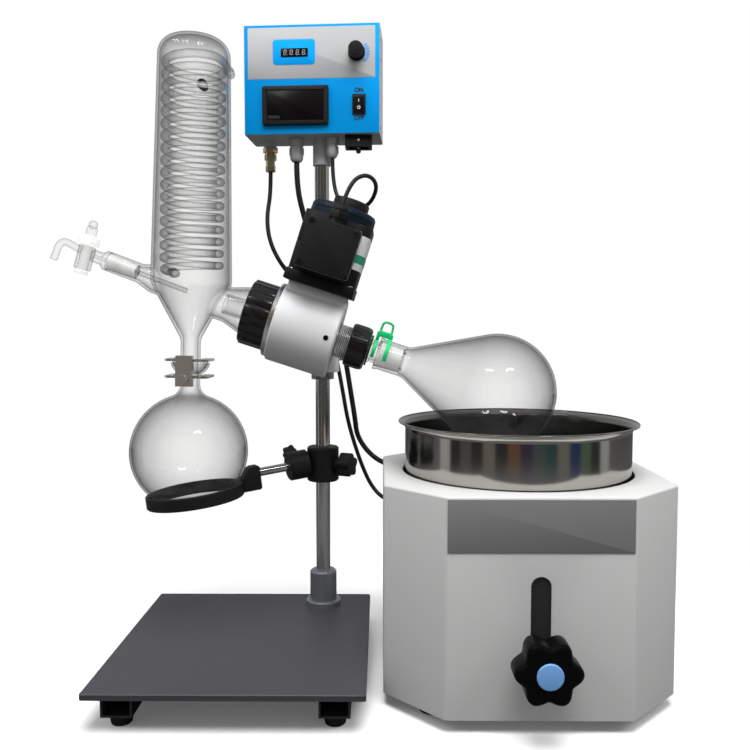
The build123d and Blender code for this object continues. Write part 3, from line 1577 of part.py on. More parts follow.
def octagon(inset):
    half = half_bath - inset
    cut = bath_chamfer - inset * (2 - sqrt(2))
    with Locations((bath_x, bath_y)):
        outline(
            (half, half - cut),
            (half - cut, half),
            (cut - half, half),
            (-half, half - cut),
            (-half, cut - half),
            (cut - half, -half),
            (half - cut, -half),
            (half, cut - half),
        )


pot_hole_radius = pot_radius + pot_gap
slot_bottom = stud_z - slot_width / 2
with BuildPart() as bath_shell:
    with BuildSketch(Plane.XY.offset(bath_foot_height)):
        octagon(0)
    extrude(amount=bath_top - bath_foot_height)
    with BuildSketch(Plane.XY.offset(bath_foot_height)):
        octagon(sheet)
    extrude(amount=bath_top - bath_foot_height - sheet, mode=Mode.SUBTRACT)
    with BuildSketch(Plane.XY.offset(bath_top - sheet)):
        with Locations((bath_x, bath_y)):
            Circle(pot_hole_radius)
    extrude(amount=sheet, mode=Mode.SUBTRACT)
    with BuildSketch(front_plane(front_wall_y)):
        with Locations((bath_x, (slot_bottom + slot_top) / 2)):
            SlotOverall(slot_top - slot_bottom, slot_width, rotation=90)
    extrude(amount=-sheet, mode=Mode.SUBTRACT)
bath_shell.part.label = "bath_shell"
export_step(bath_shell.part, "parts/bath_shell.step")

with BuildPart() as bath_base:
    with BuildSketch(Plane.XY.offset(bath_foot_height)):
        octagon(sheet + seat_gap)
    extrude(amount=pan_thick)
bath_base.part.label = "bath_base"
export_step(bath_base.part, "parts/bath_base.step")

bath_foot_spread = half_bath - bath_chamfer / 2 - bath_foot_radius - bath_foot_inset
bath_foot_spots = [
    (bath_x + side * bath_foot_spread, bath_y + end * bath_foot_spread)
    for side in (-1, 1)
    for end in (-1, 1)
]
with BuildPart() as bath_feet:
    with Locations(bath_foot_spots):
        Cylinder(bath_foot_radius, bath_foot_height, align=(Align.CENTER, Align.CENTER, Align.MIN))
    chamfer(bath_feet.edges().group_by(Axis.Z)[0], bath_foot_chamfer)
bath_feet.part.label = "bath_feet"
export_step(bath_feet.part, "parts/bath_feet.step")

pot_side = upright(bath_x, bath_y)
pot_axis = Axis((bath_x, bath_y, 0), (0, 0, 1))
pot_bottom = pot_rim_z - pot_depth
rim_tube = pot_rim_width / 2
with BuildPart() as bath_pot:
    with BuildSketch(pot_side) as pot_outer:
        ring_band(0, pot_radius, pot_bottom, pot_rim_z - rim_tube)
        corner = (pot_radius, pot_bottom, 0)
        fillet(pot_outer.vertices().sort_by_distance(corner)[0], pot_corner)
    revolve(axis=pot_axis)
    with BuildSketch(pot_side):
        with Locations((pot_radius + rim_tube - pot_wall / 2, pot_rim_z - rim_tube)):
            RegularPolygon(rim_tube + pot_wall / 2, 8, rotation=22.5)
    revolve(axis=pot_axis)
    with BuildSketch(pot_side) as pot_inner:
        ring_band(0, pot_radius - pot_wall, pot_bottom + pot_wall, pot_rim_z + rim_tube)
        corner = (pot_radius - pot_wall, pot_bottom + pot_wall, 0)
        fillet(pot_inner.vertices().sort_by_distance(corner)[0], pot_corner - pot_wall)
    revolve(axis=pot_axis, mode=Mode.SUBTRACT)
bath_pot.part.label = "bath_pot"
export_step(bath_pot.part, "parts/bath_pot.step")

with BuildPart() as bath_heater:
    with BuildSketch(Plane.XY.offset(pot_bottom - heater_thick)):
        with Locations((bath_x, bath_y)):
            Circle(heater_radius)
    extrude(amount=heater_thick)
bath_heater.part.label = "bath_heater"
export_step(bath_heater.part, "parts/bath_heater.step")

# The lift bracket hangs under the heater, and its guided stud comes out through the slot
bracket_front = front_wall_y + sheet + bracket_gap
heater_bottom = pot_bottom - heater_thick
guide_radius = slot_width / 2 - sliding_gap
stud_end = front_wall_y - knob_neck - stud_overhang
with BuildPart() as lift_bracket:
    with BuildSketch(front_plane(bracket_front)):
        with Locations((bath_x, (heater_bottom + stud_z - bracket_drop) / 2)):
            Rectangle(bracket_width, heater_bottom - stud_z + bracket_drop)
    extrude(amount=-bracket_thick)
    with BuildSketch(Plane.XY.offset(heater_bottom)):
        with Locations((bath_x, (bracket_front + bath_y) / 2)):
            Rectangle(bracket_width, bath_y - bracket_front)
    extrude(amount=-bracket_thick)
    with BuildSketch(front_plane(bracket_front)):
        with Locations((bath_x, stud_z)):
            Circle(bracket_boss_radius)
    extrude(amount=bracket_gap - sliding_gap)
    with BuildSketch(front_plane(bracket_front)):
        with Locations((bath_x, stud_z)):
            Circle(guide_radius)
    extrude(amount=bracket_gap + sheet)
    with BuildSketch(front_plane(bracket_front)):
        with Locations((bath_x, stud_z)):
            Circle(stud_radius)
    extrude(amount=bracket_front - stud_end)
lift_bracket.part.label = "lift_bracket"
export_step(lift_bracket.part, "parts/lift_bracket.step")

knob_back = front_wall_y - sliding_gap
with BuildPart() as lift_knob:
    with BuildSketch(front_plane(knob_back)):
        with Locations((bath_x, stud_z)):
            Circle(knob_neck_radius)
    extrude(amount=knob_neck)
    with BuildSketch(front_plane(knob_back - knob_neck)):
        with Locations((bath_x, stud_z)):
            Circle(knob_radius - knob_lobe_radius)
            with PolarLocations(knob_radius - knob_lobe_radius, knob_lobes):
                Circle(knob_lobe_radius)
    extrude(amount=knob_height)
    chamfer(lift_knob.faces().sort_by(Axis.Y)[0].edges(), knob_chamfer)
    with BuildSketch(front_plane(knob_back)):
        with Locations((bath_x, stud_z)):
            Circle(stud_radius + running_gap)
    extrude(amount=knob_back - stud_end + 1, mode=Mode.SUBTRACT)
lift_knob.part.label = "lift_knob"
export_step(lift_knob.part, "parts/lift_knob.step")

corner_mid = half_bath - bath_chamfer / 2
gland_dir = Vector(-sqrt(0.5), sqrt(0.5), 0)
gland_face = Vector(bath_x - corner_mid, bath_y + corner_mid, 0)
with BuildPart() as bath_glands:
    for gland_height in bath_gland_heights:
        gland_point = gland_face + Vector(0, 0, gland_height)
        with BuildSketch(Plane(origin=gland_point, z_dir=gland_dir)):
            RegularPolygon(bath_gland_radius, 6)
        extrude(amount=bath_gland_length / 2)
        with BuildSketch(Plane(origin=gland_point, z_dir=gland_dir)):
            Circle(bath_gland_radius - bath_gland_step)
        extrude(amount=bath_gland_length)
bath_glands.part.label = "bath_glands"
export_step(bath_glands.part, "parts/bath_glands.step")


# Cables: runs chosen by hand, rounded at each turn as far as the shorter run allows
def bend_radii(points):
    radii = []
    for before, corner, after in zip(points, points[1:], points[2:]):
        run_in = Vector(corner) - Vector(before)
        run_out = Vector(after) - Vector(corner)
        half_turn = radians(run_in.get_angle(run_out)) / 2
        radii.append(0.45 * min(run_in.length, run_out.length) / tan(half_turn))
    return radii


sensor_gland = gland_face + Vector(0, 0, bath_gland_heights[0]) + gland_dir * bath_gland_length
heater_gland = gland_face + Vector(0, 0, bath_gland_heights[1]) + gland_dir * bath_gland_length
box_fittings = [Vector(x, y, box_bottom - reach) for x, y, reach, radius in under_box]
sensor_route = [
    box_fittings[0],
    box_fittings[0] - Vector(0, 0, sensor_lead),
    (-97.5, 117, 509),
    (-94, 112, 481),
    (-82, 113, 455),
    (-65, 125, 434),
    (-47, 143, 416),
    (-31, 150, 382),
    (-17, 150, 343),
    (-9, 149, 300),
    (-3, 154, 262),
    (6, 162, 228),
    (15, 171, 200),
    (26, 177, 174),
    sensor_gland + gland_dir * bath_lead,
    sensor_gland,
]
heater_route = [
    box_fittings[1],
    box_fittings[1] - Vector(0, 0, heater_lead),
    (-53, 110, 511),
    (-43, 128, 473),
    (-30, 146, 430),
    (-14, 152, 382),
    (-5, 153, 336),
    (1, 158, 296),
    (6, 166, 262),
    (8, 177, 239),
    (22, 178, 217),
    heater_gland + gland_dir * bath_lead,
    heater_gland,
]
motor_route = [
    box_fittings[2],
    box_fittings[2] - Vector(0, 0, motor_lead),
    (-10, 92, 522),
    (8, 80, 512),
    (27, 62, 515),
    (36, 38, 533),
    (24, 14, 541),
    terminal_gland + motor_dir * motor_lead,
    terminal_gland,
]
print("sensor_cable", [round(radius, 1) for radius in bend_radii(sensor_route)])
print("heater_cable", [round(radius, 1) for radius in bend_radii(heater_route)])
print("motor_cable", [round(radius, 1) for radius in bend_radii(motor_route)])

with BuildPart() as sensor_cable:
    with BuildLine() as sensor_line:
        FilletPolyline(*sensor_route, radius=bend_radii(sensor_route))
    with BuildSketch(sensor_line.line ^ 0):
        Circle(sensor_cable_radius)
    sweep()
sensor_cable.part.label = "sensor_cable"
export_step(sensor_cable.part, "parts/sensor_cable.step")

with BuildPart() as heater_cable:
    with BuildLine() as heater_line:
        FilletPolyline(*heater_route, radius=bend_radii(heater_route))
    with BuildSketch(heater_line.line ^ 0):
        Circle(heater_cable_radius)
    sweep()
heater_cable.part.label = "heater_cable"
export_step(heater_cable.part, "parts/heater_cable.step")

with BuildPart() as motor_cable:
    with BuildLine() as motor_line:
        FilletPolyline(*motor_route, radius=bend_radii(motor_route))
    with BuildSketch(motor_line.line ^ 0):
        Circle(motor_cable_radius)
    sweep()
motor_cable.part.label = "motor_cable"
export_step(motor_cable.part, "parts/motor_cable.step")
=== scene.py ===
from math import atan2, cos, degrees, pi, radians, sin, sqrt, tan

import bmesh
import bpy
from mathutils import Matrix, Vector


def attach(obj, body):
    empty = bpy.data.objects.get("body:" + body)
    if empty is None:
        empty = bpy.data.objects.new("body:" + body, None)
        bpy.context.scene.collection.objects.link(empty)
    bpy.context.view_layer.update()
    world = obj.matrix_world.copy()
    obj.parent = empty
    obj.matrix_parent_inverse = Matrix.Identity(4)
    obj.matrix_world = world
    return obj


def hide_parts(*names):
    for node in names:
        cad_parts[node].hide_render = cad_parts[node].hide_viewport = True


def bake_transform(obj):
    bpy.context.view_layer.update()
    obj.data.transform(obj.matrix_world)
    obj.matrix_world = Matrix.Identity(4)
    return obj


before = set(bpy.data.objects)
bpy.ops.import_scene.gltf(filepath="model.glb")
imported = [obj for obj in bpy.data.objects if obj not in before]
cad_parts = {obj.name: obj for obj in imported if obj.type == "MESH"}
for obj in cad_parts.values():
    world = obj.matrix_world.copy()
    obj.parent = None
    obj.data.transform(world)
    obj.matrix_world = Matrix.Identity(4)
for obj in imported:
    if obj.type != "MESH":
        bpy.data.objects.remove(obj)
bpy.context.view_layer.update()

# Lengths are millimetres until a piece is placed
mm = 0.001

# Driving dimensions, the same as those of the solids
column_x, column_y, column_radius = -31, 112, 8.5
plate_top = 41
head = Vector((-44, 50, 374.5))
shaft_tilt, feed_tilt, barrel_tilt = 18, 20.7, 16
condenser_reach, condenser_lean = 135.5, 1.5
flask_radius, flask_centre, flask_slope, flask_neck = 65.5, 224.2, 27.8, 17.3
glass_wall = 2.2
receiver_height, receiver_radius = -178.4, 65.5
bath_x, bath_y, bath_size, bath_chamfer = 186.5, 22, 290, 57
bath_low, bath_high = 13, 223
pot_radius, pot_rim, pot_rim_z, pot_depth = 121, 128.5, 277, 140
stud_z = 74
box_turn, box_bottom = -3.5, 598
box_width, box_depth, box_shift = 155, 61, -7


# Directions in the front plane, turned clockwise by a tilt
def upward(tilt):
    return Vector((sin(radians(tilt)), 0, cos(radians(tilt))))


def rightward(tilt):
    return Vector((cos(radians(tilt)), 0, -sin(radians(tilt))))


across = Vector((0, 1, 0))
shaft_dir, motor_dir = rightward(shaft_tilt), upward(shaft_tilt)
glass_up, glass_right = upward(condenser_lean), rightward(condenser_lean)
feed_dir = -rightward(feed_tilt)
glass_meet = head - shaft_dir * condenser_reach


# Frames: local z along a piece's own axis
def standing(origin, axis, right):
    axis = Vector(axis).normalized()
    right = Vector(right)
    right = (right - axis * right.dot(axis)).normalized()
    side = axis.cross(right)
    return Matrix.Translation(Vector(origin) * mm) @ Matrix((right, side, axis)).transposed().to_4x4()


def at(x, y, z=0):
    return standing((x, y, z), (0, 0, 1), (1, 0, 0))


# Local z toward the viewer
def facing(x=0, y=0, z=0):
    return standing((x, y, z), (0, -1, 0), (1, 0, 0))


def offset(place, x, y, z=0):
    return place @ Matrix.Translation(Vector((x, y, z)) * mm)


def turn_of(place):
    return place.to_3x3().to_4x4()


along_shaft = standing(head, shaft_dir, motor_dir)
along_motor = standing(head, motor_dir, shaft_dir)
along_glass = standing(glass_meet, glass_up, glass_right)
along_feed = standing(glass_meet, feed_dir, across)
backward = standing((0, 0, 0), (0, 1, 0), (1, 0, 0))
upright = Matrix.Identity(4)


# Mesh tools
def linked(name, data):
    thing = bpy.data.objects.new(name, data)
    bpy.context.collection.objects.link(thing)
    return thing


def placed(name, shape, finish, place):
    shape.transform(place @ Matrix.Scale(mm, 4))
    mesh = bpy.data.meshes.new(name)
    shape.to_mesh(mesh)
    shape.free()
    mesh.materials.append(finish)
    return linked(name, mesh)


def piece(name, shape, finish, body, place=upright, replaces=(), angle=35):
    bmesh.ops.remove_doubles(shape, verts=shape.verts, dist=0.002)
    for face in shape.faces:
        face.smooth = True
    for edge in shape.edges:
        edge.smooth = len(edge.link_faces) == 2 and edge.calc_face_angle(pi) < radians(angle)
    bmesh.ops.recalc_face_normals(shape, faces=shape.faces)
    thing = placed(name, shape, finish, place)
    if replaces:
        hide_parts(*replaces)
    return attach(thing, body)


def joined(*shapes):
    whole = bmesh.new()
    for shape in shapes:
        copy = bpy.data.meshes.new("joined")
        shape.to_mesh(copy)
        shape.free()
        whole.from_mesh(copy)
        bpy.data.meshes.remove(copy)
    return whole


def moved(shape, place):
    shape.transform(place)
    return shape


# The same shape at several spots, or several times round the local z axis
def repeated(make, spots):
    return joined(*[moved(make(), Matrix.Translation(spot)) for spot in spots])


def corners(x, y, middle_x=0, middle_y=0):
    return [(middle_x + side * x, middle_y + end * y, 0) for side in (-1, 1) for end in (-1, 1)]


def ringed(count, make):
    turns = [Matrix.Rotation(2 * pi * number / count, 4, "Z") for number in range(count)]
    return joined(*[moved(make(), turn) for turn in turns])


# Points of an arc in a turned profile, as (radius, height), by angle from the profile's outward side
def arc(centre_radius, centre_height, radius, start, stop, count=8):
    step = (stop - start) / count
    angles = [radians(start + step * number) for number in range(count + 1)]
    return [(centre_radius + radius * cos(a), centre_height + radius * sin(a)) for a in angles]


# A profile of (radius, height) points turned about the local z axis, left open where it ends on that axis
def turned(points, steps=64, closed=None):
    shape = bmesh.new()
    stations = [shape.verts.new((radius, 0, height)) for radius, height in points]
    for pair in zip(stations, stations[1:]):
        shape.edges.new(pair)
    if closed is None:
        closed = max(points[0][0], points[-1][0]) > 0.001
    if closed:
        shape.edges.new((stations[-1], stations[0]))
    bmesh.ops.spin(
        shape, geom=shape.verts[:] + shape.edges[:], cent=(0, 0, 0), axis=(0, 0, 1), angle=2 * pi,
        steps=steps, use_merge=True,
    )
    bmesh.ops.remove_doubles(shape, verts=shape.verts, dist=0.003)
    bmesh.ops.dissolve_degenerate(shape, dist=0.0005, edges=shape.edges)
    return shape


def bevelled(shape, edges, width, segments=2):
    bmesh.ops.bevel(
        shape, geom=edges, offset=width, segments=segments, profile=0.5, affect="EDGES", material=-1
    )
    return shape


# A flat outline raised by a height, with its edges bevelled
def raised(outline, height, bevel=0, base=0, segments=2, top_only=False):
    shape = bmesh.new()
    floor = shape.faces.new([shape.verts.new((x, y, base)) for x, y in outline])
    grown = bmesh.ops.extrude_face_region(shape, geom=[floor])
    lifted = [part for part in grown["geom"] if isinstance(part, bmesh.types.BMVert)]
    bmesh.ops.translate(shape, vec=(0, 0, height), verts=lifted)
    bmesh.ops.recalc_face_normals(shape, faces=shape.faces)
    levels = [base + height] if top_only else [base, base + height]
    if bevel:
        rims = [
            edge for edge in shape.edges
            if any(all(abs(v.co.z - level) < 1e-4 for v in edge.verts) for level in levels)
        ]
        bevelled(shape, rims, bevel, segments)
    return shape


def rounded_rectangle(width, height, radius, x=0, y=0, count=6):
    points = []
    for side_x, side_y, start in ((1, 1, 0), (-1, 1, 90), (-1, -1, 180), (1, -1, 270)):
        middle_x = x + side_x * (width / 2 - radius)
        middle_y = y + side_y * (height / 2 - radius)
        points += arc(middle_x, middle_y, radius, start, start + 90, count)
    return points


def circle(radius, x=0, y=0, count=32, start=0):
    angles = [radians(start) + 2 * pi * number / count for number in range(count)]
    return [(x + radius * cos(a), y + radius * sin(a)) for a in angles]


def lobed(outer, inner, lobes, count, sharpness=1.0):
    points = []
    for number in range(lobes * count):
        angle = 2 * pi * number / (lobes * count)
        radius = inner + (outer - inner) * ((1 + cos(lobes * angle)) / 2) ** sharpness
        points.append((radius * cos(angle), radius * sin(angle)))
    return points


def plate(width, height, radius, x, y, low, high, bevel=0.2, **options):
    return raised(rounded_rectangle(width, height, radius, x, y), high - low, bevel=bevel, base=low, **options)


def block(width, depth, height, bevel=0, centre=(0, 0, 0)):
    shape = bmesh.new()
    bmesh.ops.create_cube(shape, size=1)
    bmesh.ops.scale(shape, vec=(width, depth, height), verts=shape.verts)
    bmesh.ops.translate(shape, vec=centre, verts=shape.verts)
    return bevelled(shape, shape.edges[:], bevel) if bevel else shape


def combined(base, other, operation="DIFFERENCE"):
    things = []
    for shape in (base, other):
        bmesh.ops.recalc_face_normals(shape, faces=shape.faces)
        mesh = bpy.data.meshes.new("combining")
        shape.to_mesh(mesh)
        shape.free()
        things.append(linked("combining", mesh))
    mixing = things[0].modifiers.new("combining", "BOOLEAN")
    mixing.operation = operation
    mixing.solver = "EXACT"
    mixing.object = things[1]
    view = bpy.context.evaluated_depsgraph_get()
    whole = bmesh.new()
    whole.from_object(things[0], view)
    for thing in things:
        mesh = thing.data
        bpy.data.objects.remove(thing)
        bpy.data.meshes.remove(mesh)
    return whole


def united(whole, *others):
    for other in others:
        whole = combined(whole, other, "UNION")
    return whole


def mesh_of(curve_object):
    view = bpy.context.evaluated_depsgraph_get()
    mesh = bpy.data.meshes.new_from_object(curve_object.evaluated_get(view))
    bpy.data.objects.remove(curve_object)
    return mesh


# A round tube along a smooth line of points
def tube(name, points, radius, finish, body, place=upright, replaces=()):
    line = bpy.data.curves.new(name, "CURVE")
    line.dimensions = "3D"
    spline = line.splines.new("NURBS")
    spline.points.add(len(points) - 1)
    for spot, point in zip(spline.points, points):
        spot.co = (*(place @ (Vector(point) * mm)), 1)
    spline.order_u = 3
    spline.use_endpoint_u = True
    spline.resolution_u = 8
    line.bevel_depth = radius * mm
    line.bevel_resolution = 6
    line.use_fill_caps = True
    line.materials.append(finish)
    thing = linked(name, line)
    if replaces:
        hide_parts(*replaces)
    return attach(thing, body)


# Material tools
def colour(red, green, blue):
    return (red, green, blue, 1)


def fed(tree, made, inputs):
    for socket, value in inputs.items():
        if isinstance(value, bpy.types.NodeSocket):
            tree.links.new(value, made.inputs[socket])
        else:
            made.inputs[socket].default_value = value
    return made


# A shader node; its inputs are values or other nodes' outputs
def node(tree, kind, inputs, **settings):
    made = tree.nodes.new("ShaderNode" + kind)
    for name, value in settings.items():
        setattr(made, name, value)
    return fed(tree, made, inputs)


def bare(data):
    data.use_nodes = True
    data.node_tree.nodes.clear()
    return data.node_tree


# Fine uneven surface: a shade, a roughness and a height from two scales of noise on the piece's own place
def make_grain():
    group = bpy.data.node_groups.new("Uneven surface", "ShaderNodeTree")
    for label, kind, value in (
        ("Colour", "Color", colour(0.5, 0.5, 0.5)),
        ("Roughness", "Float", 0.4),
        ("Grain scale", "Float", 900),
        ("Shade change", "Float", 0.05),
        ("Roughness change", "Float", 0.08),
        ("Stretch", "Vector", (1, 1, 1)),
    ):
        socket = group.interface.new_socket(label, in_out="INPUT", socket_type="NodeSocket" + kind)
        socket.default_value = value
    for label, kind in (("Colour", "Color"), ("Roughness", "Float"), ("Height", "Float")):
        group.interface.new_socket(label, in_out="OUTPUT", socket_type="NodeSocket" + kind)
    entry = group.nodes.new("NodeGroupInput").outputs
    place = node(group, "TexCoord", {}).outputs["Object"]
    stretched = node(group, "VectorMath", {0: place, 1: entry["Stretch"]}, operation="MULTIPLY").outputs[0]
    fine = node(group, "TexNoise", {"Vector": stretched, "Scale": entry["Grain scale"], "Detail": 2})
    height = fine.outputs["Fac"]
    broad = node(group, "TexNoise", {"Vector": place, "Scale": 14, "Detail": 3}).outputs["Fac"]
    shade = node(group, "Math", {0: height, 1: entry["Shade change"], 2: 1}, operation="MULTIPLY_ADD")
    half_change = {0: entry["Shade change"], 1: -0.5, 2: shade.outputs[0]}
    half = node(group, "Math", half_change, operation="MULTIPLY_ADD")
    tint = node(group, "VectorMath", {0: entry["Colour"], "Scale": half.outputs[0]}, operation="SCALE")
    gloss_change = {0: broad, 1: entry["Roughness change"], 2: entry["Roughness"]}
    gloss = node(group, "Math", gloss_change, operation="MULTIPLY_ADD")
    results = {"Colour": tint.outputs[0], "Roughness": gloss.outputs[0], "Height": height}
    fed(group, group.nodes.new("NodeGroupOutput"), results)
    return group


uneven_surface = make_grain()


# Shade as red, green and blue; the grain is its scale, its change of shade and the bump it gives
def finish(name, shade, roughness, grain, shade_change, bump, metal=0, gloss_change=0.08, depth=0.05,
           stretch=(1, 1, 1), coat=0, specular=0.5):
    material = bpy.data.materials.new(name)
    material.use_nodes = True
    tree = material.node_tree
    surface = node(tree, "Group", {
        "Colour": colour(*shade), "Roughness": roughness, "Grain scale": grain, "Shade change": shade_change,
        "Roughness change": gloss_change, "Stretch": stretch,
    }, node_tree=uneven_surface).outputs
    shader = fed(tree, tree.nodes["Principled BSDF"], {
        "Base Color": surface["Colour"], "Roughness": surface["Roughness"], "Metallic": metal,
        "Coat Weight": coat, "Coat Roughness": 0.08, "Specular IOR Level": specular,
    })
    if bump:
        relief = node(tree, "Bump", {"Strength": bump, "Distance": depth * mm, "Height": surface["Height"]})
        fed(tree, shader, {"Normal": relief.outputs["Normal"]})
    return material


# Thin clear glass: see-through face on, darker and more mirroring where the wall is seen edge on; the darker
# edge is painted shade for the dark surroundings a real wall bends into view
glass_index = 1.45


def thin_glass(name, face_tint, edge_shade, mirror, edge_power):
    material = bpy.data.materials.new(name)
    tree = bare(material)
    facing_edge = node(tree, "LayerWeight", {"Blend": edge_power}).outputs["Facing"]
    shades = {"A": colour(*face_tint), "B": colour(*edge_shade), "Factor": facing_edge}
    tint = node(tree, "Mix", shades, data_type="RGBA")
    clear = node(tree, "BsdfTransparent", {"Color": tint.outputs["Result"]})
    shine = node(tree, "BsdfGlossy", {"Roughness": 0.02, "Color": colour(mirror, mirror, mirror)})
    inside = node(tree, "NewGeometry", {}).outputs["Backfacing"]
    index = node(tree, "MapRange", {"Value": inside, "To Min": glass_index, "To Max": 1 / glass_index})
    fresnel = node(tree, "Fresnel", {"IOR": index.outputs["Result"]})
    mix = node(tree, "MixShader", {"Fac": fresnel.outputs["Fac"], 1: clear.outputs[0], 2: shine.outputs[0]})
    node(tree, "OutputMaterial", {"Surface": mix.outputs[0]})
    return material


# Finishes: shade, roughness, grain scale, shade change, bump
plate_black = finish("Plate powder coat", (0.042, 0.043, 0.048), 0.42, 1600, 0.25, 0.25)
rail_black = finish("Rail paint", (0.03, 0.03, 0.033), 0.45, 1200, 0.2, 0.1)
rubber = finish("Rubber", (0.018, 0.018, 0.019), 0.62, 700, 0.2, 0.15)
polished_steel = finish(
    "Polished column steel", (0.62, 0.61, 0.6), 0.13, 300, 0.06, 0.01, metal=1, stretch=(8, 8, 0.3)
)
satin_metal = finish("Socket metal", (0.36, 0.38, 0.42), 0.34, 600, 0.1, 0.05, metal=0.9)
head_paint = finish("Head powder coat", (0.66, 0.66, 0.67), 0.32, 1500, 0.1, 0.22, depth=0.08)
machined_steel = finish("Machined steel", (0.92, 0.92, 0.91), 0.22, 900, 0.12, 0.03, metal=1)
sheet_paint = finish("Sheet powder coat", (0.52, 0.52, 0.513), 0.4, 1300, 0.05, 0.1)
panel_blue = finish("Panel blue", (0, 0.3, 0.76), 0.5, 1500, 0.04, 0.06, specular=0.08)
panel_grey = finish("Panel light grey", (0.35, 0.355, 0.36), 0.45, 1500, 0.03, 0.05)
print_blue = finish("Printed blue", (0, 0.3, 0.9), 0.45, 1200, 0.03, 0)
print_black = finish("Printed black", (0.012, 0.012, 0.013), 0.45, 1200, 0.03, 0)
print_white = finish("Printed white", (0.8, 0.8, 0.8), 0.45, 1200, 0.03, 0)
digit_grey = finish("Unlit digit grey", (0.5, 0.51, 0.52), 0.45, 1200, 0.03, 0)
display_black = finish("Display glass", (0.004, 0.003, 0.004), 0.16, 200, 0.1, 0, specular=0.15)
black_plastic = finish("Black plastic", (0.007, 0.007, 0.0075), 0.42, 1100, 0.2, 0.12, specular=0.3)
gloss_black = finish("Glossy black plastic", (0.006, 0.006, 0.0065), 0.13, 260, 0.1, 0.01, coat=0.25)
knob_black = finish("Knob black", (0.002, 0.002, 0.002), 0.3, 900, 0.2, 0.05, specular=0.08)
motor_black = finish("Motor black", (0.007, 0.0075, 0.008), 0.4, 1300, 0.25, 0.2, specular=0.28)
motor_navy = finish("Motor navy", (0.003, 0.009, 0.018), 0.36, 1000, 0.12, 0.08, specular=0.3)
motor_grey = finish("Terminal seam grey", (0.25, 0.26, 0.27), 0.4, 1000, 0.1, 0.05)
gland_grey = finish("Gland grey", (0.5, 0.505, 0.51), 0.4, 900, 0.1, 0.05)
brass = finish("Plated brass", (0.78, 0.66, 0.44), 0.22, 700, 0.15, 0.03, metal=1)
cable_black = finish("Cable sheath", (0.012, 0.012, 0.013), 0.42, 900, 0.15, 0.08)
pot_grain = {"metal": 1, "stretch": (1, 1, 14), "gloss_change": 0.05}
mirror_steel = finish("Polished pot steel", (0.44, 0.425, 0.4), 0.1, 120, 0.06, 0.012, **pot_grain)
# The pot's inside takes a darker, rougher copy of the pot steel: painted shade inside the pot
pot_inside_painted_shade = finish("Pot steel inside, painted shade", (0.3, 0.295, 0.285), 0.16, 120, 0.06, 0.012, **pot_grain)
clamp_steel = finish("Clamp steel", (0.92, 0.91, 0.88), 0.2, 700, 0.15, 0.03, metal=1)
clip_green = finish("Clip green", (0, 0.52, 0.16), 0.3, 600, 0.08, 0.03, coat=0.2)
label_white = finish("Label paper", (0.72, 0.73, 0.73), 0.5, 1400, 0.06, 0.02)
label_green = finish("Label green", (0.02, 0.3, 0.16), 0.45, 1400, 0.06, 0.02)
cap_blue = finish("Cap blue", (0.17, 0.38, 0.74), 0.3, 800, 0.1, 0.02, coat=0.3)
plate_grey = finish("Grey name plate", (0.16, 0.16, 0.158), 0.42, 1500, 0.05, 0.04)
slot_dark = finish("Slot near black", (0.015, 0.015, 0.016), 0.6, 900, 0.1, 0)
# Glass: shade face on, painted edge shade, mirror strength, edge blend
clear_glass = thin_glass("Clear glass", (0.985, 0.985, 0.982), (0.53, 0.54, 0.54), 0.95, 0.35)
coil_glass = thin_glass("Coil glass", (0.98, 0.98, 0.978), (0.57, 0.58, 0.58), 1, 0.42)
joint_glass = thin_glass("Joint glass", (0.975, 0.975, 0.972), (0.64, 0.65, 0.65), 1, 0.4)
# Ground glass: half see-through, and glowing evenly in its own shade at strength 0.3, a painted glow for the
# light the frosted surface scatters
ground_shade = (0.92, 0.92, 0.9)
frosted_glass_painted_glow = finish("Ground glass with painted glow", ground_shade, 0.55, 2200, 0.12, 0.3)
ground_tree = frosted_glass_painted_glow.node_tree
fed(ground_tree, ground_tree.nodes["Principled BSDF"], {
    "Alpha": 0.5, "Emission Color": colour(*ground_shade), "Emission Strength": 0.3,
})

# Solids that stay as they are, by their finish
for finished, labels in (
    (plate_black, ["base_plate"]),
    (rail_black, ["base_rails"]),
    (sheet_paint, ["bath_base", "control_case"]),
    (rubber, ["bath_feet", "shaft_seal"]),
    (gland_grey, ["bath_glands", "control_sleeve"]),
    (machined_steel, ["bath_heater", "clamp_screws", "crown_gear", "drive_pinion", "shaft_bearings"]),
    (slot_dark, ["lift_bracket"]),
    (print_blue, ["display_window"]),
    (head_paint, ["column_clamp"]),
    (motor_black, ["terminal_box"]),
    (black_plastic, ["power_socket"]),
    (clamp_steel, ["receiver_clamp", "clamp_thumbscrew"]),
):
    for label in labels:
        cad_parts[label].material_slots[0].material = finished

# Stand: column, socket, collar and feet
column_place = at(column_x, column_y)
column_top = 660
column_profile = [(0, plate_top), (column_radius, plate_top), (column_radius, column_top), (0, column_top)]
piece("column_tube", turned(column_profile), polished_steel, "stand", column_place, ["column"])

socket_profile = [(8.6, 41), (21, 41), (21, 47), (20, 48), (16, 48.5), (16, 82), (14, 84), (8.6, 84)]
piece("column_foot_socket", turned(socket_profile), satin_metal, "stand", column_place, ["column_socket"])

collar_profile = [(8.6, 315.9), (12.8, 315.9), (13.5, 316.6), (13.5, 323.7), (12.8, 324.4), (8.6, 324.4)]
piece("stop_collar", turned(collar_profile), satin_metal, "stand", column_place, ["lock_collar"])
collar_screw_place = standing((column_x - 5.6, column_y - 12.1, 320.1), (-0.42, -0.91, 0), (0, 0, 1))
collar_screw = [(0, -1.5), (1.3, -1.5), (1.3, 0), (2.4, 0), (2.6, -0.4), (2.6, -3), (0, -3)]
piece("collar_set_screw", turned(collar_screw, 24), machined_steel, "stand", collar_screw_place)

foot_profile = [(0, 0.6), (3.4, 0.6), (3.4, 0), (9.4, 0), (10, 0.7), (11.9, 11), (11.9, 12), (0, 12)]
feet = repeated(lambda: turned(foot_profile, 40), corners(102.5, 109, -107, 8))
piece("rubber_feet", feet, rubber, "stand", replaces=["base_feet"])

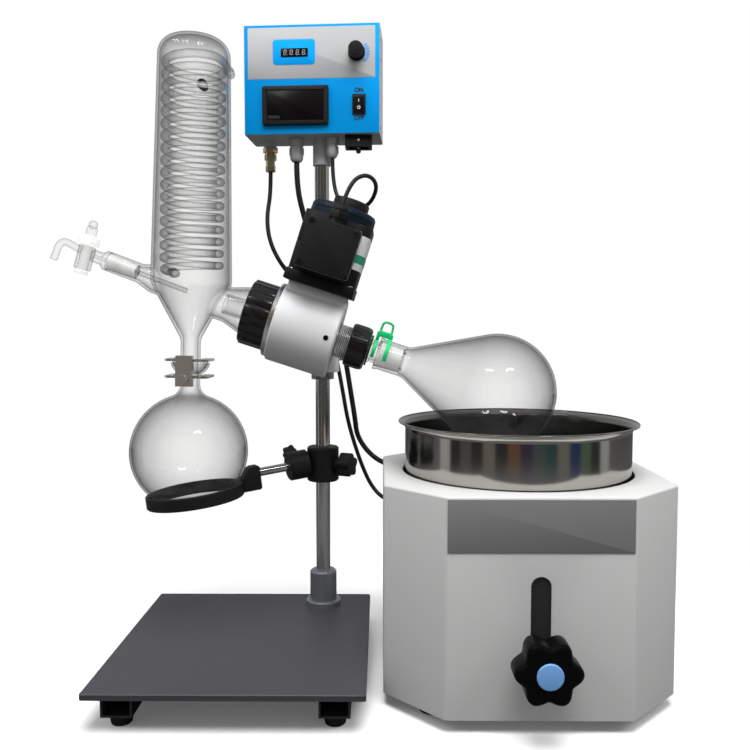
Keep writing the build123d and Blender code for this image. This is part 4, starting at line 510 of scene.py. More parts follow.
# Drive head: barrel on the shaft axis, motor pad on top, round pad behind
barrel_profile = [
    (31, 34), (20.6, 34), (20.6, 35), (43.5, 35), (45, 33.5), (45, -33.5), (43.5, -35), (38, -35), (38, 10),
    (31, 10),
]
barrel = moved(turned(barrel_profile, 96), turn_of(along_shaft))
pad = moved(plate(66, 52, 3, 0, 0, 20, 47.4, bevel=1.2, top_only=True), turn_of(along_motor))
back_pad = moved(turned([(0, 30), (24, 30), (24, 46), (23, 47), (0, 47)]), backward)
head_place = Matrix.Translation(head * mm)
piece("head_casting", joined(barrel, pad, back_pad), head_paint, "head", head_place, ["head_housing"])

plug_place = standing(head + shaft_dir * 25.5, -across, motor_dir)
plug = [(0, 45.6), (2.4, 45.6), (2.9, 45.2), (2.9, 43.4), (0, 43.4)]
piece("oil_plug", turned(plug, 24), knob_black, "head", plug_place)

cover_profile = [
    (22, -56), (31.3, -56), (31.5, -55.8), (31.5, -40), (41.4, -40), (42, -39.4), (42, -35), (37.9, -35),
    (37.9, -21), (31, -21), (31, -35), (22, -35),
]
piece("end_ring", turned(cover_profile, 96), machined_steel, "head", along_shaft, ["end_cover"])

# Shaft with its rolled thread
thread = [(13.5, -34), (17.4, -34), (17.4, 35.5), (18.6, 36)]
for turn in range(11):
    thread += [(19, 37 + turn * 2), (18.2, 38 + turn * 2)]
thread += [(18.2, 60), (13.5, 60)]
piece("hollow_shaft", turned(thread, 72), machined_steel, "shaft", along_shaft, ["drive_shaft"])

# Cap nut with long rounded ribs between shallow flutes, its end faces sunk
cap_outer, cap_inner, cap_flute, cap_bevel, cap_sink = 37, 29.5, 1.6, 1.6, 2.5
cap_start, cap_end = -69.5, -40.3
cap_outline = lobed(cap_outer, cap_outer - cap_flute, 12, 16, sharpness=0.35)
cap_shell = raised(cap_outline, cap_end - cap_start, bevel=cap_bevel, base=cap_start, segments=3)
cap_lip = cap_outer - cap_flute - cap_bevel - cap_inner
cap_faces = [face for face in cap_shell.faces if abs(abs(face.normal.z) - 1) < 1e-3 and face.calc_area() > 400]
for face in cap_faces:
    up = 1 if face.calc_center_median().z > (cap_start + cap_end) / 2 else -1
    bmesh.ops.inset_individual(cap_shell, faces=[face], thickness=cap_lip)
    bmesh.ops.translate(cap_shell, vec=(0, 0, -cap_sink * up), verts=face.verts)
piece("condenser_cap_nut", cap_shell, gloss_black, "cap", along_shaft, ["cap_nut"])

nut_profile = [
    (12.7, 60.5), (12.7, 71.5), (21.2, 71.5), (22.4, 71), (24, 68.8), (24, 50.2), (23, 49), (19.3, 49),
    (19.3, 60.5),
]
piece("shaft_release_nut", turned(nut_profile, 72), gloss_black, "push_nut", along_shaft, ["release_nut"])
ridges = ringed(24, lambda: block(0.8, 1.6, 15, bevel=0.3, centre=(24, 0, 59)))
piece("release_nut_ridges", ridges, gloss_black, "push_nut", along_shaft)
washer = [(12.4, 71.8), (12.4, 74), (17, 74), (17.6, 73.2), (17.6, 72.2), (17, 71.8)]
piece("nut_washer", turned(washer, 48), rubber, "push_nut", along_shaft)

# Gear motor
flange = plate(78, 78, 4, 0, 0, 47.5, 59.5, bevel=0.8)
neck = plate(76, 76, 14, 0, 0, 59.5, 90, bevel=0.6)
flange_screw = [(0, 58.8), (1.6, 58.8), (1.6, 60.5), (3.4, 60.5), (3.6, 60.2), (3.6, 58), (0, 58)]
flange_screws = repeated(lambda: turned(flange_screw, 20), corners(32, 32))
piece("gear_case", joined(flange, neck), motor_black, "head", along_motor, ["gear_head"])
piece("gear_case_screws", flange_screws, machined_steel, "head", along_motor)
stator = raised(rounded_rectangle(76, 76, 14), 35.6, bevel=0.7, base=90.3)
piece("stator_case", stator, motor_black, "head", along_motor, ["motor_body"])
cap_profile = [
    (0, 126.2), (36.5, 126.2), (36.5, 132.4), (35.9, 132.7), (35.9, 133.4), (36.3, 133.8), (36.1, 137.5),
    (34.5, 140), (32, 141), (0, 141),
]
piece("rotor_end_cap", turned(cap_profile, 80), motor_navy, "head", along_motor, ["motor_end_cap"])
vent_profile = [(0, 141.1), (19.2, 141.1), (20, 141.8), (20, 149.5), (18.6, 151.6), (17, 152), (0, 152)]
piece("vent_hood", turned(vent_profile, 56), black_plastic, "head", offset(along_motor, 5, 0), ["vent_cap"])

# Terminal cover with a screw in a raised well at each corner, and a grey seam behind it
cover_place = standing(head + across * -62 + motor_dir * 90, -across, shaft_dir)
cover_shape = plate(58, 54, 3, 0, 0, -3, 0, bevel=0.9, top_only=True, segments=3)
piece("terminal_lid", cover_shape, motor_black, "head", cover_place, ["terminal_cover"])
seam = raised(rounded_rectangle(58.6, 54.6, 3.2), 1.2, bevel=0.3, base=-4.6)
piece("terminal_seam", seam, motor_grey, "head", cover_place)
well = [(2.4, -0.6), (2.9, 0.15), (3.6, 0.15), (3.8, -0.2), (3.8, -0.6)]
lid_screw = [(0, 0.2), (0.8, 0.2), (1.1, 0.7), (2.9, 0.7), (3.4, 0.2), (3.4, -0.6), (0, -0.6)]
wells, screws = [repeated(lambda: turned(part, 24), corners(24, 22)) for part in (well, lid_screw)]
piece("terminal_screw_wells", wells, motor_black, "head", cover_place)
piece("terminal_screws", screws, gloss_black, "head", cover_place)

gland_place = standing(head + across * -49 + motor_dir * 117, motor_dir, shaft_dir)
motor_gland = joined(
    turned([(0, 0), (9, 0), (9, 5), (0, 5)], 32),
    raised(circle(11.2, count=6, start=30), 9, bevel=0.8, base=5),
    turned([(0, 14), (9, 14), (9.4, 15), (8.6, 18.5), (6.6, 20.6), (3.4, 21), (0, 21)], 32),
)
piece("motor_cable_gland", motor_gland, black_plastic, "head", gland_place, ["motor_gland"])


# Label round the front right corner of the stator, with a green band across it
def wrapped(front, back, skin, low, high):
    outer = [(front, -38 - skin)] + arc(24, -24, 14 + skin, -90, 0, 10) + [(38 + skin, back)]
    inner = [(front, -37.9)] + arc(24, -24, 13.9, -90, 0, 10) + [(37.9, back)]
    return raised(outer + inner[::-1], high - low, base=low)


piece("motor_label", wrapped(21, 20, 0.2, 78, 115), label_white, "head", along_motor)
piece("motor_label_band", wrapped(21.2, 19.8, 0.35, 85.5, 94.5), label_green, "head", along_motor)


# Glass, each vessel as a wall between an outer and an inner profile
def pear(wall):
    slope = radians(flask_slope)
    neck = flask_neck - wall
    radius = flask_radius - wall
    bend = 14 + wall
    corner = flask_centre - radius * sin(slope) - (radius * cos(slope) - neck) / tan(slope)
    bend_start = corner - bend * tan(slope / 2)
    shoulder = arc(neck + bend, bend_start, bend, 180, 180 - flask_slope, 6)
    return shoulder + arc(0, flask_centre, radius, -flask_slope, 90, 26)


rim = [(14.9, 82.6), (15.6, 82), (17.6, 82), (18.3, 82.7), (18.3, 85.4), (17.6, 86.4), (flask_neck, 87.6)]
mouth = [(flask_neck - glass_wall, 112.5), (13.5, 111), (14.9, 83)]
flask_shape = turned(rim + pear(0) + pear(glass_wall)[::-1] + mouth, 96)
piece("evaporating_pear_flask", flask_shape, clear_glass, "shaft", along_shaft, ["evaporating_flask"])

duct_profile = [
    (9.5, -96), (11.5, -96), (11.5, 48), (13.3, 50), (13.3, 60), (11.5, 60.4), (11.5, 72.5), (13.4, 73.5),
    (13.4, 75.2), (11.5, 76.4), (12.4, 82), (14.55, 84), (13.2, 111), (11, 112), (11, 114), (9.5, 114),
]
piece("vapour_tube", turned(duct_profile), joint_glass, "shaft", along_shaft, ["vapour_duct"])
ground_cone = [(14.62, 85), (13.28, 110), (13.2, 110), (14.5, 85)]
piece("ground_cone", turned(ground_cone), frosted_glass_painted_glow, "shaft", along_shaft)


# Turns a shape made along an axis into the glass frame
def in_glass(shape, axis):
    return moved(shape, turn_of(along_glass).inverted() @ standing((0, 0, 0), axis, across))


jacket_wall = 2.5
jacket_top, jacket_crown = 280, 8


def jacket(wall, low):
    top_radius = 39.5 - wall
    crown = (top_radius**2 + jacket_crown**2) / (2 * jacket_crown)
    top = jacket_top - wall
    knuckle = 20 - wall
    turn = degrees(atan2(top_radius - knuckle, crown - knuckle))
    knuckle_height = top - crown + sqrt((crown - knuckle) ** 2 - (top_radius - knuckle) ** 2)
    base = [(0, low), (11 - wall, low), (11 - wall, -54 + wall), (12.5 - wall, -49 + wall)]
    belly = arc(32.5, 13, 12 - wall, -27, 1, 6)
    dome = arc(top_radius - knuckle, knuckle_height, knuckle, 0, 90 - turn, 8)
    crown_arc = arc(0, top - crown, crown, 90 - turn, 90, 6)
    return base + belly + dome + crown_arc[1:]


outer_jacket = turned(jacket(0, -72), 96)
ball = turned([(0, -70), (11, -70), (11, -75), (19, -76.1)] + arc(0, -72.3, 20.5, -14, -66) + [(0, -91)], 72)
arm_profile = [
    (0, 0), (20, 0), (20, 42.5), (27.5, 65.5), (28, 71.5), (30.5, 71.5), (31, 72), (31, 76), (30.5, 76.5),
    (0, 76.5),
]
feed_profile = [(0, 20), (16, 24), (16, 44), (11.2, 60.5), (11, 61.5), (11, 97.5), (10.5, 98), (0, 98)]
arm, feed_arm = turned(arm_profile, 80), turned(feed_profile, 56)
outer_glass = united(outer_jacket, ball, in_glass(arm, shaft_dir), in_glass(feed_arm, feed_dir))
inner_jacket = turned(jacket(jacket_wall, -95), 96)
inner_arm = turned([(0, 0), (17.5, 0), (17.5, 42.5), (25, 65.5), (25, 78), (0, 78)], 80)
inner_feed = turned([(0, 15), (13.5, 20), (13.5, 43), (8.1, 60), (9.4, 99), (0, 99)], 56)
inner_glass = united(inner_jacket, in_glass(inner_arm, shaft_dir), in_glass(inner_feed, feed_dir))
condenser = combined(outer_glass, inner_glass)
piece("condenser_glass", condenser, clear_glass, "head", along_glass, ["condenser_jacket"], angle=30)

# Cooling coil: a helix whose ends run straight back through the jacket
coil_turns, coil_pitch, coil_start, coil_radius, tube_radius = 17.5, 13.2, 24, 30.7, 4.5
stations = 12
control_radius = coil_radius / cos(pi / stations)
hose_end = 54
coil_points = [
    (-coil_radius, hose_end, coil_start), (-coil_radius, 30, coil_start), (-control_radius, 8, coil_start),
]
for station in range(1, round(coil_turns * stations)):
    angle = pi + 2 * pi * station / stations
    height = coil_start + coil_pitch * station / stations
    coil_points.append((control_radius * cos(angle), control_radius * sin(angle), height))
coil_end = coil_start + coil_turns * coil_pitch
coil_points += [(control_radius, 8, coil_end), (coil_radius, 30, coil_end), (coil_radius, hose_end, coil_end)]
tube("cooling_coil", coil_points, tube_radius, coil_glass, "head", along_glass, ["condenser_coil"])

# Hose nozzles at the back of the condenser
nozzle_profile = [
    (0, 36), (5.6, 36), (5.9, 38), (4.7, 44), (5.6, 44.4), (4.7, 50), (5, 50.4), (4.2, 54), (0, 54),
]
for name, x, height in (
    ("coolant_nozzle_low", -coil_radius, coil_start),
    ("coolant_nozzle_high", coil_radius, coil_end),
    ("vacuum_nozzle", 0, 240),
):
    nozzle_place = offset(along_glass, x, 0, height) @ backward
    piece(name, turned(nozzle_profile, 32), joint_glass, "head", nozzle_place)


# Receiving flask: cup of the ball joint, short neck, ball
def receiver(wall):
    radius = receiver_radius - wall
    neck = 11 - wall
    bend = 14 + wall
    drop = sqrt((radius + bend) ** 2 - (neck + bend) ** 2)
    turn = degrees(atan2(neck + bend, drop))
    ball_part = arc(0, receiver_height, radius, -90, 90 - turn, 26)
    return ball_part + arc(neck + bend, receiver_height + drop, bend, 270 - turn, 180, 6)


cup = [(11, -94)] + arc(0, -72.3, 22.8, -61, -18, 7) + [(20.6, -78.5)] + arc(0, -72.3, 20.6, -18, -63, 7)
receiver_shape = turned(receiver(0) + cup + [(8.8, -93)] + receiver(glass_wall)[::-1], 96, closed=True)
piece("receiving_ball_flask", receiver_shape, clear_glass, "head", along_glass, ["receiving_flask"])

# Feed stopcock
stopcock_centre = glass_meet + feed_dir * 125
barrel_place = standing(stopcock_centre, upward(barrel_tilt), across)
stem_profile = [
    (2, 5), (3, 5), (3, 64), (8, 64), (9.3, 98), (11, 98.5), (11, 101.5), (9, 104), (7, 105), (7, 117),
    (2, 117),
]
piece("stopcock_stem", turned(stem_profile, 40), joint_glass, "head", along_feed, ["stopcock_body"])
ground_stem = [(8.12, 65), (9.32, 97), (9.25, 97), (8.05, 65)]
piece("ground_stem", turned(ground_stem, 40), frosted_glass_painted_glow, "head", along_feed)
barrel_profile = [(6.1, -19), (8.4, -19), (9.2, -18), (9.2, 6.8), (8.6, 8), (6.1, 8)]
piece("stopcock_barrel", turned(barrel_profile, 40), joint_glass, "head", barrel_place)
spout = [
    (-295, 50, 463.5), (-303, 50, 468), (-313, 50, 474), (-320, 50, 470), (-324, 50, 459), (-326.6, 50, 453.5),
]
tube("feed_spout", spout, 4, joint_glass, "head")
key_profile = [
    (0, -24), (7, -24), (7.5, -23), (7.5, -20.5), (6, -20), (6, 8.6), (7, 9), (11.2, 9), (11.5, 9.8),
    (11.5, 18), (10, 20), (0, 20),
]
piece("stopcock_plug", turned(key_profile, 40), frosted_glass_painted_glow, "key", barrel_place, ["stopcock_key"])
handle = raised(rounded_rectangle(12, 13, 3, y=24), 5, bevel=1.4, base=-2.5)
handle_place = standing(stopcock_centre, -across, rightward(barrel_tilt))
piece("stopcock_handle", handle, joint_glass, "key", handle_place)
piece("stopcock_ball", turned(arc(0, 32, 5, -90, 90, 12), 32), joint_glass, "key", barrel_place)

# Ball joint clamp: rivets on the forks and knurls on the thumbscrew, which are solids that stay
rivet_spots = [(x, -18, height) for x in (-15, 15) for height in (-73.6, -92)]
rivets = repeated(lambda: turned([(0, 1.1), (1.4, 0.9), (2, 0), (0, 0)], 20), rivet_spots)
piece("clamp_rivets", rivets, clamp_steel, "head", along_glass)
thumb_place = standing(glass_meet + glass_up * -95 - across * 32.3, -across, glass_up)
knurls = ringed(20, lambda: block(0.7, 0.9, 5.4, bevel=0.2, centre=(5, 0, 3.2)))
piece("thumbscrew_knurl", knurls, clamp_steel, "thumbscrew", thumb_place)

# Green joint clip: two open rings, a bridge between them and an arch over it
clip_legs = []
for station, inner, width in ((78, 13.2, 4), (92, 17.8, 4.5)):
    ring = raised(circle(inner + 2, count=48), width, bevel=0.5, base=station - width / 2)
    hole = raised(circle(inner, count=48), width + 4, base=station - width / 2 - 2)
    open_side = block(60, 60, 30, centre=(-30 - 6, 0, station))
    clip_legs.append(combined(combined(ring, hole), open_side))
piece("clip_legs", joined(*clip_legs), clip_green, "shaft", along_shaft, ["joint_clip"])
bridge_outline = [
    (76, 14.5), (76, 23), (78.5, 25.5), (92, 25.5), (94.3, 23), (94.3, 18.6), (80, 18.6), (80, 14.5),
]
bridge = raised(bridge_outline, 12, bevel=0.8, base=-6)
piece("clip_bridge", bridge, clip_green, "shaft", standing(head, -across, shaft_dir))
arch = [(24, 0, 79), (30, 0, 79), (36, 0, 80), (36, 0, 90.5), (30, 0, 91.5), (24, 0, 91.5)]
tube("clip_arch", arch, 1.3, clip_green, "shaft", along_shaft)


# Star shaped head of a hand knob, raised by its start
def hand_star(radius, valley, thickness, lobes, bevel, start):
    outline = lobed(radius, valley, lobes, 16, sharpness=0.8)
    return moved(raised(outline, thickness, bevel=bevel, segments=4), Matrix.Translation((0, 0, start)))


# Boss head on the column, with the rod and the ring that hold the receiver
boss_profile = [(8.65, 193.4), (17.5, 193.4), (19, 195), (19, 233), (17.5, 234.6), (8.65, 234.6)]
piece("boss_collar", turned(boss_profile, 72), black_plastic, "ring_carrier", column_place, ["boss_head"])

ring_tilt, rod_bearing, star_bearing, rod_knob_rise, rod_lift = 7, 23.8, -25, 25, 12
ring_up, ring_across = upward(-ring_tilt), rightward(-ring_tilt)
ring_centre = glass_meet + glass_up * receiver_height - ring_up * 50.35
rod_start = ring_centre + ring_up * rod_lift
rod_dir = ring_across * cos(radians(rod_bearing)) + across * sin(radians(rod_bearing))
rod_side = across * cos(radians(rod_bearing)) - ring_across * sin(radians(rod_bearing))
rod_place = standing(rod_start, rod_dir, ring_up)
lug_profile = [(5.1, 112), (15.5, 112), (17, 113.4), (17, 134.6), (15.5, 136), (5.1, 136)]
piece("rod_lug", turned(lug_profile), black_plastic, "ring_carrier", rod_place)
piece("boss_web", plate(26, 24, 5, 0, 0, 121, 137, bevel=1.5), black_plastic, "ring_carrier", rod_place)
rod = turned([(0, 61), (5, 61), (5, 138.2), (4.2, 139), (0, 139)], 40)
piece("support_rod", rod, polished_steel, "ring_carrier", rod_place, ["ring_rod"])

ring_place = standing(ring_centre, ring_up, rod_dir)
ring_profile = [(46.5, -6.4), (47.1, -7), (53.6, -7), (54.5, -6), (54.5, 6), (53.6, 7), (50, 7), (49.4, 6.6)]
piece("flask_ring", turned(ring_profile, 128), black_plastic, "ring_carrier", ring_place, ["support_ring"])
lug_outline = [(51, -7), (51, 7), (57, 12), (62, 19), (66, 21), (74, 21), (76, 19), (76, -5), (74, -7)]
ring_lug = raised(lug_outline, 18, bevel=1.4, base=-9, segments=3)
piece("ring_lug", ring_lug, black_plastic, "ring_carrier", standing(ring_centre, -rod_side, rod_dir))

star_dir = Vector((cos(radians(star_bearing)), sin(radians(star_bearing)), 0))
star_place = standing((column_x, column_y, 214), star_dir, (0, 0, 1))
star_neck = turned([(0, 8.7), (3, 8.7), (3, 19.6), (8, 19.6), (8.6, 24.5), (0, 24.5)], 32)
column_star = joined(star_neck, hand_star(14.5, 10.8, 16, 5, 1.6, 24))
piece("column_star_knob", column_star, black_plastic, "column_star", star_place, ["column_knob"])
knob_dir = rod_side * cos(radians(rod_knob_rise)) + ring_up * sin(radians(rod_knob_rise))
knob_neck = turned([(0, 5.1), (3, 5.1), (3, 17.4), (6, 17.4), (6.4, 18.5), (0, 18.5)], 32)
rod_star = joined(knob_neck, hand_star(9.5, 7.2, 15, 5, 1.2, 18))
knob_place = standing(rod_start + rod_dir * 124, knob_dir, rod_dir)
piece("rod_star_knob", rod_star, black_plastic, "rod_star", knob_place, ["rod_knob"])

# Control box: panel frame with x to the right, y up and z out of the panel
turn_x = Vector((cos(radians(box_turn)), sin(radians(box_turn)), 0))
turn_y = Vector((-turn_x.y, turn_x.x, 0))
box_origin = Vector((column_x, column_y, box_bottom)) + turn_x * box_shift - turn_y * (box_depth / 2 + 1.5)
panel_place = standing(box_origin - turn_y * 0.35, -turn_y, turn_x)


def on_panel(name, shape, finish, replaces=()):
    piece(name, shape, finish, "stand", panel_place, replaces)


on_panel("panel_sheet", plate(154.6, 121.6, 0.6, 0, 61, -0.3, 0), panel_blue, ["control_panel"])
on_panel("panel_grey_field", plate(145.4, 57.2, 0.4, -0.4, 90.4, 0, 0.15, bevel=0.05), panel_grey)
display_x, display_y = -20, 91.5
digit_x, digit_y = display_x + 0.5, display_y - 0.6
on_panel("display_surround", plate(48.5, 28.5, 4, display_x, display_y, 0.15, 0.3, bevel=0.05), panel_blue)
on_panel("speed_display", plate(31, 9.4, 0.6, digit_x, digit_y, 0.3, 0.8), display_black)

# Digits of the speed display, unlit bars on black
bar_long, bar_thick, bar_reach, bar_slant, bar_base, bar_rise = 2.3, 0.42, 2.6, 0.1, 0.8, 0.06
digit_step = 7.1


def display_bar(x, y, upright_bar):
    half, thick = bar_long / 2, bar_thick / 2
    points = [
        (-half, 0), (-half + thick, thick), (half - thick, thick), (half, 0), (half - thick, -thick),
        (-half + thick, -thick),
    ]
    if upright_bar:
        points = [(-b, a) for a, b in points]
    slanted = [(x + a + bar_slant * (y + b - display_y), y + b) for a, b in points]
    return raised(slanted, bar_rise, base=bar_base)


bars = []
for digit in range(4):
    x = digit_x + (digit - 1.5) * digit_step
    bars += [display_bar(x, digit_y + level * bar_reach, False) for level in (-1, 0, 1)]
    bars += [display_bar(x + a, digit_y + b, True) for a, b, _ in corners(1.35, bar_reach / 2)]
    bars.append(raised(circle(0.33, x + 2.3, digit_y - bar_reach, 10), bar_rise, base=bar_base))
on_panel("display_digits", joined(*bars), digit_grey)

# Speed knob with fine ribs, and ticks printed around it
dial_place = offset(panel_place, 51.5, 89.5)
dial_shape = joined(
    turned([(0, 0.3), (9.4, 0.3), (9.7, 0.6), (9.7, 1.9), (9.2, 2.3), (0, 2.3)], 48),
    raised(lobed(8.4, 7.95, 30, 6), 13.8, bevel=0.9, base=2.2, segments=3, top_only=True),
    turned([(0, -6), (3, -6), (3, 1), (0, 1)], 24),
)
piece("speed_dial_knob", dial_shape, black_plastic, "speed_dial", dial_place, ["speed_knob"])
ticks = [
    moved(block(4.2, 1.5, 0.2, centre=(12.8, 0, 0.2)), Matrix.Rotation(radians(42 - 12.5 * number), 4, "Z"))
    for number in range(8)
]
piece("speed_ticks", joined(*ticks), print_blue, "stand", dial_place)

# Temperature meter: framed black window
meter_x, meter_y = -18.5, 31.5
meter = plate(76, 44, 2.4, meter_x, meter_y, 0, 4, bevel=1.1, top_only=True, segments=3)
front_faces = [face for face in meter.faces if face.normal.z > 0.99 and face.calc_area() > 400]
bmesh.ops.inset_individual(meter, faces=front_faces, thickness=3.6)
bmesh.ops.inset_individual(meter, faces=front_faces, thickness=0.5, depth=-1)
on_panel("meter_frame", meter, black_plastic, ["panel_meter"])
on_panel("meter_window", plate(65, 33, 0.8, meter_x, meter_y, 2.9, 3.2, bevel=0.1), display_black)
key_strip = plate(14, 4.4, 0.5, meter_x - 24.6, meter_y - 13.6, 3.2, 3.4, bevel=0.1)
on_panel("meter_key_strip", key_strip, black_plastic)

# Rocker switch with its marks
rocker_x, rocker_y = 54, 32
bezel = plate(15.5, 23, 1, rocker_x, rocker_y, 0, 1.3, bevel=0.5, top_only=True)
on_panel("rocker_bezel", bezel, black_plastic)
rocker_place = offset(panel_place, rocker_x, rocker_y) @ Matrix.Rotation(radians(10), 4, "X")
rocker_shape = block(12.6, 16.6, 6.8, bevel=0.6, centre=(0, 0, 0.6))
piece("rocker_cap", rocker_shape, gloss_black, "rocker", rocker_place, ["power_rocker"])
mark_off = turned([(1.1, 4), (1.9, 4), (1.9, 4.08), (1.1, 4.08)], 28)
marks = joined(block(0.9, 3.2, 0.1, centre=(0, 4, 4.02)), moved(mark_off, Matrix.Translation((0, -3.6, 0))))
piece("rocker_marks", marks, print_white, "rocker", rocker_place)

# Raised letters, made a mesh before they are placed
for name, text, height in (("mark_on", "ON", 48), ("mark_off", "OFF", 17)):
    line = bpy.data.curves.new(name, "FONT")
    line.body = text
    line.size = 6.6
    line.extrude = 0.04
    line.bevel_depth = 0.26
    line.bevel_resolution = 1
    line.align_x = "CENTER"
    line.align_y = "CENTER"
    flat = mesh_of(linked(name, line))
    shape = bmesh.new()
    shape.from_mesh(flat)
    bpy.data.meshes.remove(flat)
    piece(name, shape, print_black, "stand", offset(panel_place, rocker_x, height, 0.1))

# Screws in the sides of the folded case
screw_profile = [(0, 0), (2.4, 0), (2.4, 0.5), (1.6, 1.1), (0.6, 1.1), (0.6, 0.6), (0, 0.6)]
case_screws = []
for side in (-1, 1):
    for height in (8, 84, 106):
        spot = turn_x * side * box_width / 2 + turn_y * 9 + Vector((0, 0, height))
        sideways = standing((0, 0, 0), turn_x * side, (0, 0, 1))
        case_screws.append(moved(turned(screw_profile, 20), Matrix.Translation(spot) @ sideways))
piece("case_screws", joined(*case_screws), machined_steel, "stand", Matrix.Translation(box_origin * mm))

# Fittings under the box
fitting_place = at(-93, 122)
collar_part = turned([(0, 597.9), (7.4, 597.9), (7.4, 592), (7, 591.4), (0, 591.4)], 40)
piece("connector_collar", collar_part, gland_grey, "stand", fitting_place)
brass_profile = [
    (0, 585), (6, 585), (6, 583.6), (7, 583.2), (7, 577), (6.2, 576.2), (5.4, 576), (5.4, 570), (6, 569.4),
    (6, 564), (5.4, 563), (0, 563),
]
brass_shape = joined(
    raised(circle(8.9, count=6), 6.4, bevel=0.7, base=585),
    turned(brass_profile, 40),
    ringed(18, lambda: block(0.5, 0.9, 4.6, bevel=0.15, centre=(7, 0, 580))),
)
piece("brass_connector", brass_shape, brass, "stand", fitting_place, ["signal_connector"])
glands = []
for x, y, reach, radius in ((-60, 105, 27, 9), (-17.5, 98, 24, 7.5)):
    low = box_bottom - reach
    waist, tip = radius - 1.6, radius - 4
    dome = [(0, 579), (radius - 1.2, 579), (waist, low + 3), (radius - 3.4, low + 0.4), (tip, low), (0, low)]
    for part in (
        raised(circle(radius, count=6), 8.6, bevel=0.8, base=589.2),
        turned([(0, 589.5), (waist, 589.5), (waist, 587.4), (0, 587.4)], 40),
        raised(circle(radius - 0.4, count=6), 9, bevel=0.8, base=578.6),
        turned(dome, 40),
    ):
        glands.append(moved(part, Matrix.Translation((x, y, 0))))
piece("box_cable_glands", joined(*glands), gland_grey, "stand", upright, ["cable_glands"])
fuse_cap = turned([(0, 584), (3, 583.6), (3.4, 582.4), (2.6, 578.4), (1.4, 577.4), (0, 577.2)], 28)
piece("socket_thumb_cap", fuse_cap, gloss_black, "stand", at(13, 88))
socket_screw = turned(arc(0, 0, 2.2, 0, 90, 6) + [(0, 0)], 24, closed=False)
piece("socket_screw", socket_screw, machined_steel, "stand", facing(13, 84.1, 591.5))


# Bath: folded octagonal shell with a round opening and an upright slot
def octagon(half, chamfer):
    side = half - chamfer
    return [
        (half, -side), (half, side), (side, half), (-side, half),
        (-half, side), (-half, -side), (-side, -half), (side, -half),
    ]


bath_place = at(bath_x, bath_y)
sheet_wall = 1.5
half_bath = bath_size / 2
shell = raised(octagon(half_bath, bath_chamfer), bath_high - bath_low, base=bath_low)
bevelled(shell, [edge for edge in shell.edges if max(v.co.z for v in edge.verts) > bath_high - 0.1], 2.2, 3)
inner_octagon = octagon(half_bath - sheet_wall, bath_chamfer - sheet_wall * (2 - sqrt(2)))
cavity = raised(inner_octagon, bath_high - sheet_wall - bath_low + 2, base=bath_low - 2)
shell = combined(shell, cavity)
shell = combined(shell, raised(circle(124, count=128), 20, base=bath_high - 10))
slot_width, slot_low, slot_high = 19, 64.5, 149
slot_middle = (slot_low + slot_high) / 2
slot_outline = rounded_rectangle(slot_width, slot_high - slot_low, slot_width / 2 - 0.01, 0, slot_middle, 12)
slot_cut = moved(raised(slot_outline, 14), Matrix.Translation((0, 7 - half_bath, 0)) @ facing())
shell = combined(shell, slot_cut)
piece("bath_housing", shell, sheet_paint, "stand", bath_place, ["bath_shell"], angle=40)
front_place = facing(bath_x, bath_y - half_bath)
# A near black sheet just behind the slot: painted shade for the dark inside of the bath housing
piece("slot_shade_sheet", plate(30, 96, 4, 0, 106, -3.4, -2.6, bevel=0), slot_dark, "stand", front_place)
name_plate = plate(172, 49.3, 0.4, -0.5, 195.9, 0, 0.7, bevel=0.15)
piece("blank_name_plate", name_plate, plate_grey, "stand", front_place)

# Stainless pot with a flared rim that ends in a bead
pot_wall, pot_low, pot_corner = 1.2, pot_rim_z - pot_depth, 16
flare, bead = 7.3, 1.1
flare_radius, flare_height = pot_radius + flare, pot_rim_z - 9.4
pot_profile = (
    [(0, pot_low)]
    + arc(pot_radius - pot_corner, pot_low + pot_corner, pot_corner, -90, 0)
    + arc(flare_radius, flare_height, flare, 180, 105, 7)
    + arc(pot_rim - bead, pot_rim_z - bead, bead, -60, 120, 7)
    + arc(flare_radius, flare_height, flare + pot_wall, 100, 180, 7)
    + arc(pot_radius - pot_corner, pot_low + pot_corner, pot_corner - pot_wall, 0, -90)
    + [(0, pot_low + pot_wall)]
)
pot = piece("water_pot", turned(pot_profile, 160), mirror_steel, "bath", bath_place, ["bath_pot"])
# Faces looking inward below the rim take the darker copy of the steel: painted shade inside the pot
pot.data.materials.append(pot_inside_painted_shade)
pot_axis = Vector((bath_x, bath_y)) * mm
for face in pot.data.polygons:
    outward = (face.center.xy - pot_axis).dot(face.normal.xy)
    if outward < -0.02 and face.center.z < (pot_rim_z - 3) * mm:
        face.material_index = 1

# Black star knob with its neck and blue cap
knob_place = facing(bath_x, bath_y - half_bath, stud_z)
knob_neck = turned([(0, 0.3), (13, 0.3), (13, 15), (0, 15)], 56)
bath_star = joined(knob_neck, hand_star(31, 24.5, 29, 6, 5.5, 14.3))
piece("bath_star_knob", bath_star, knob_black, "bath_star", knob_place, ["lift_knob"])
star_cap = turned([(0, 43), (12, 43), (12, 44.2), (11.4, 44.8), (10, 45), (0, 45.2)], 56)
piece("star_cap", star_cap, cap_blue, "bath_star", knob_place)

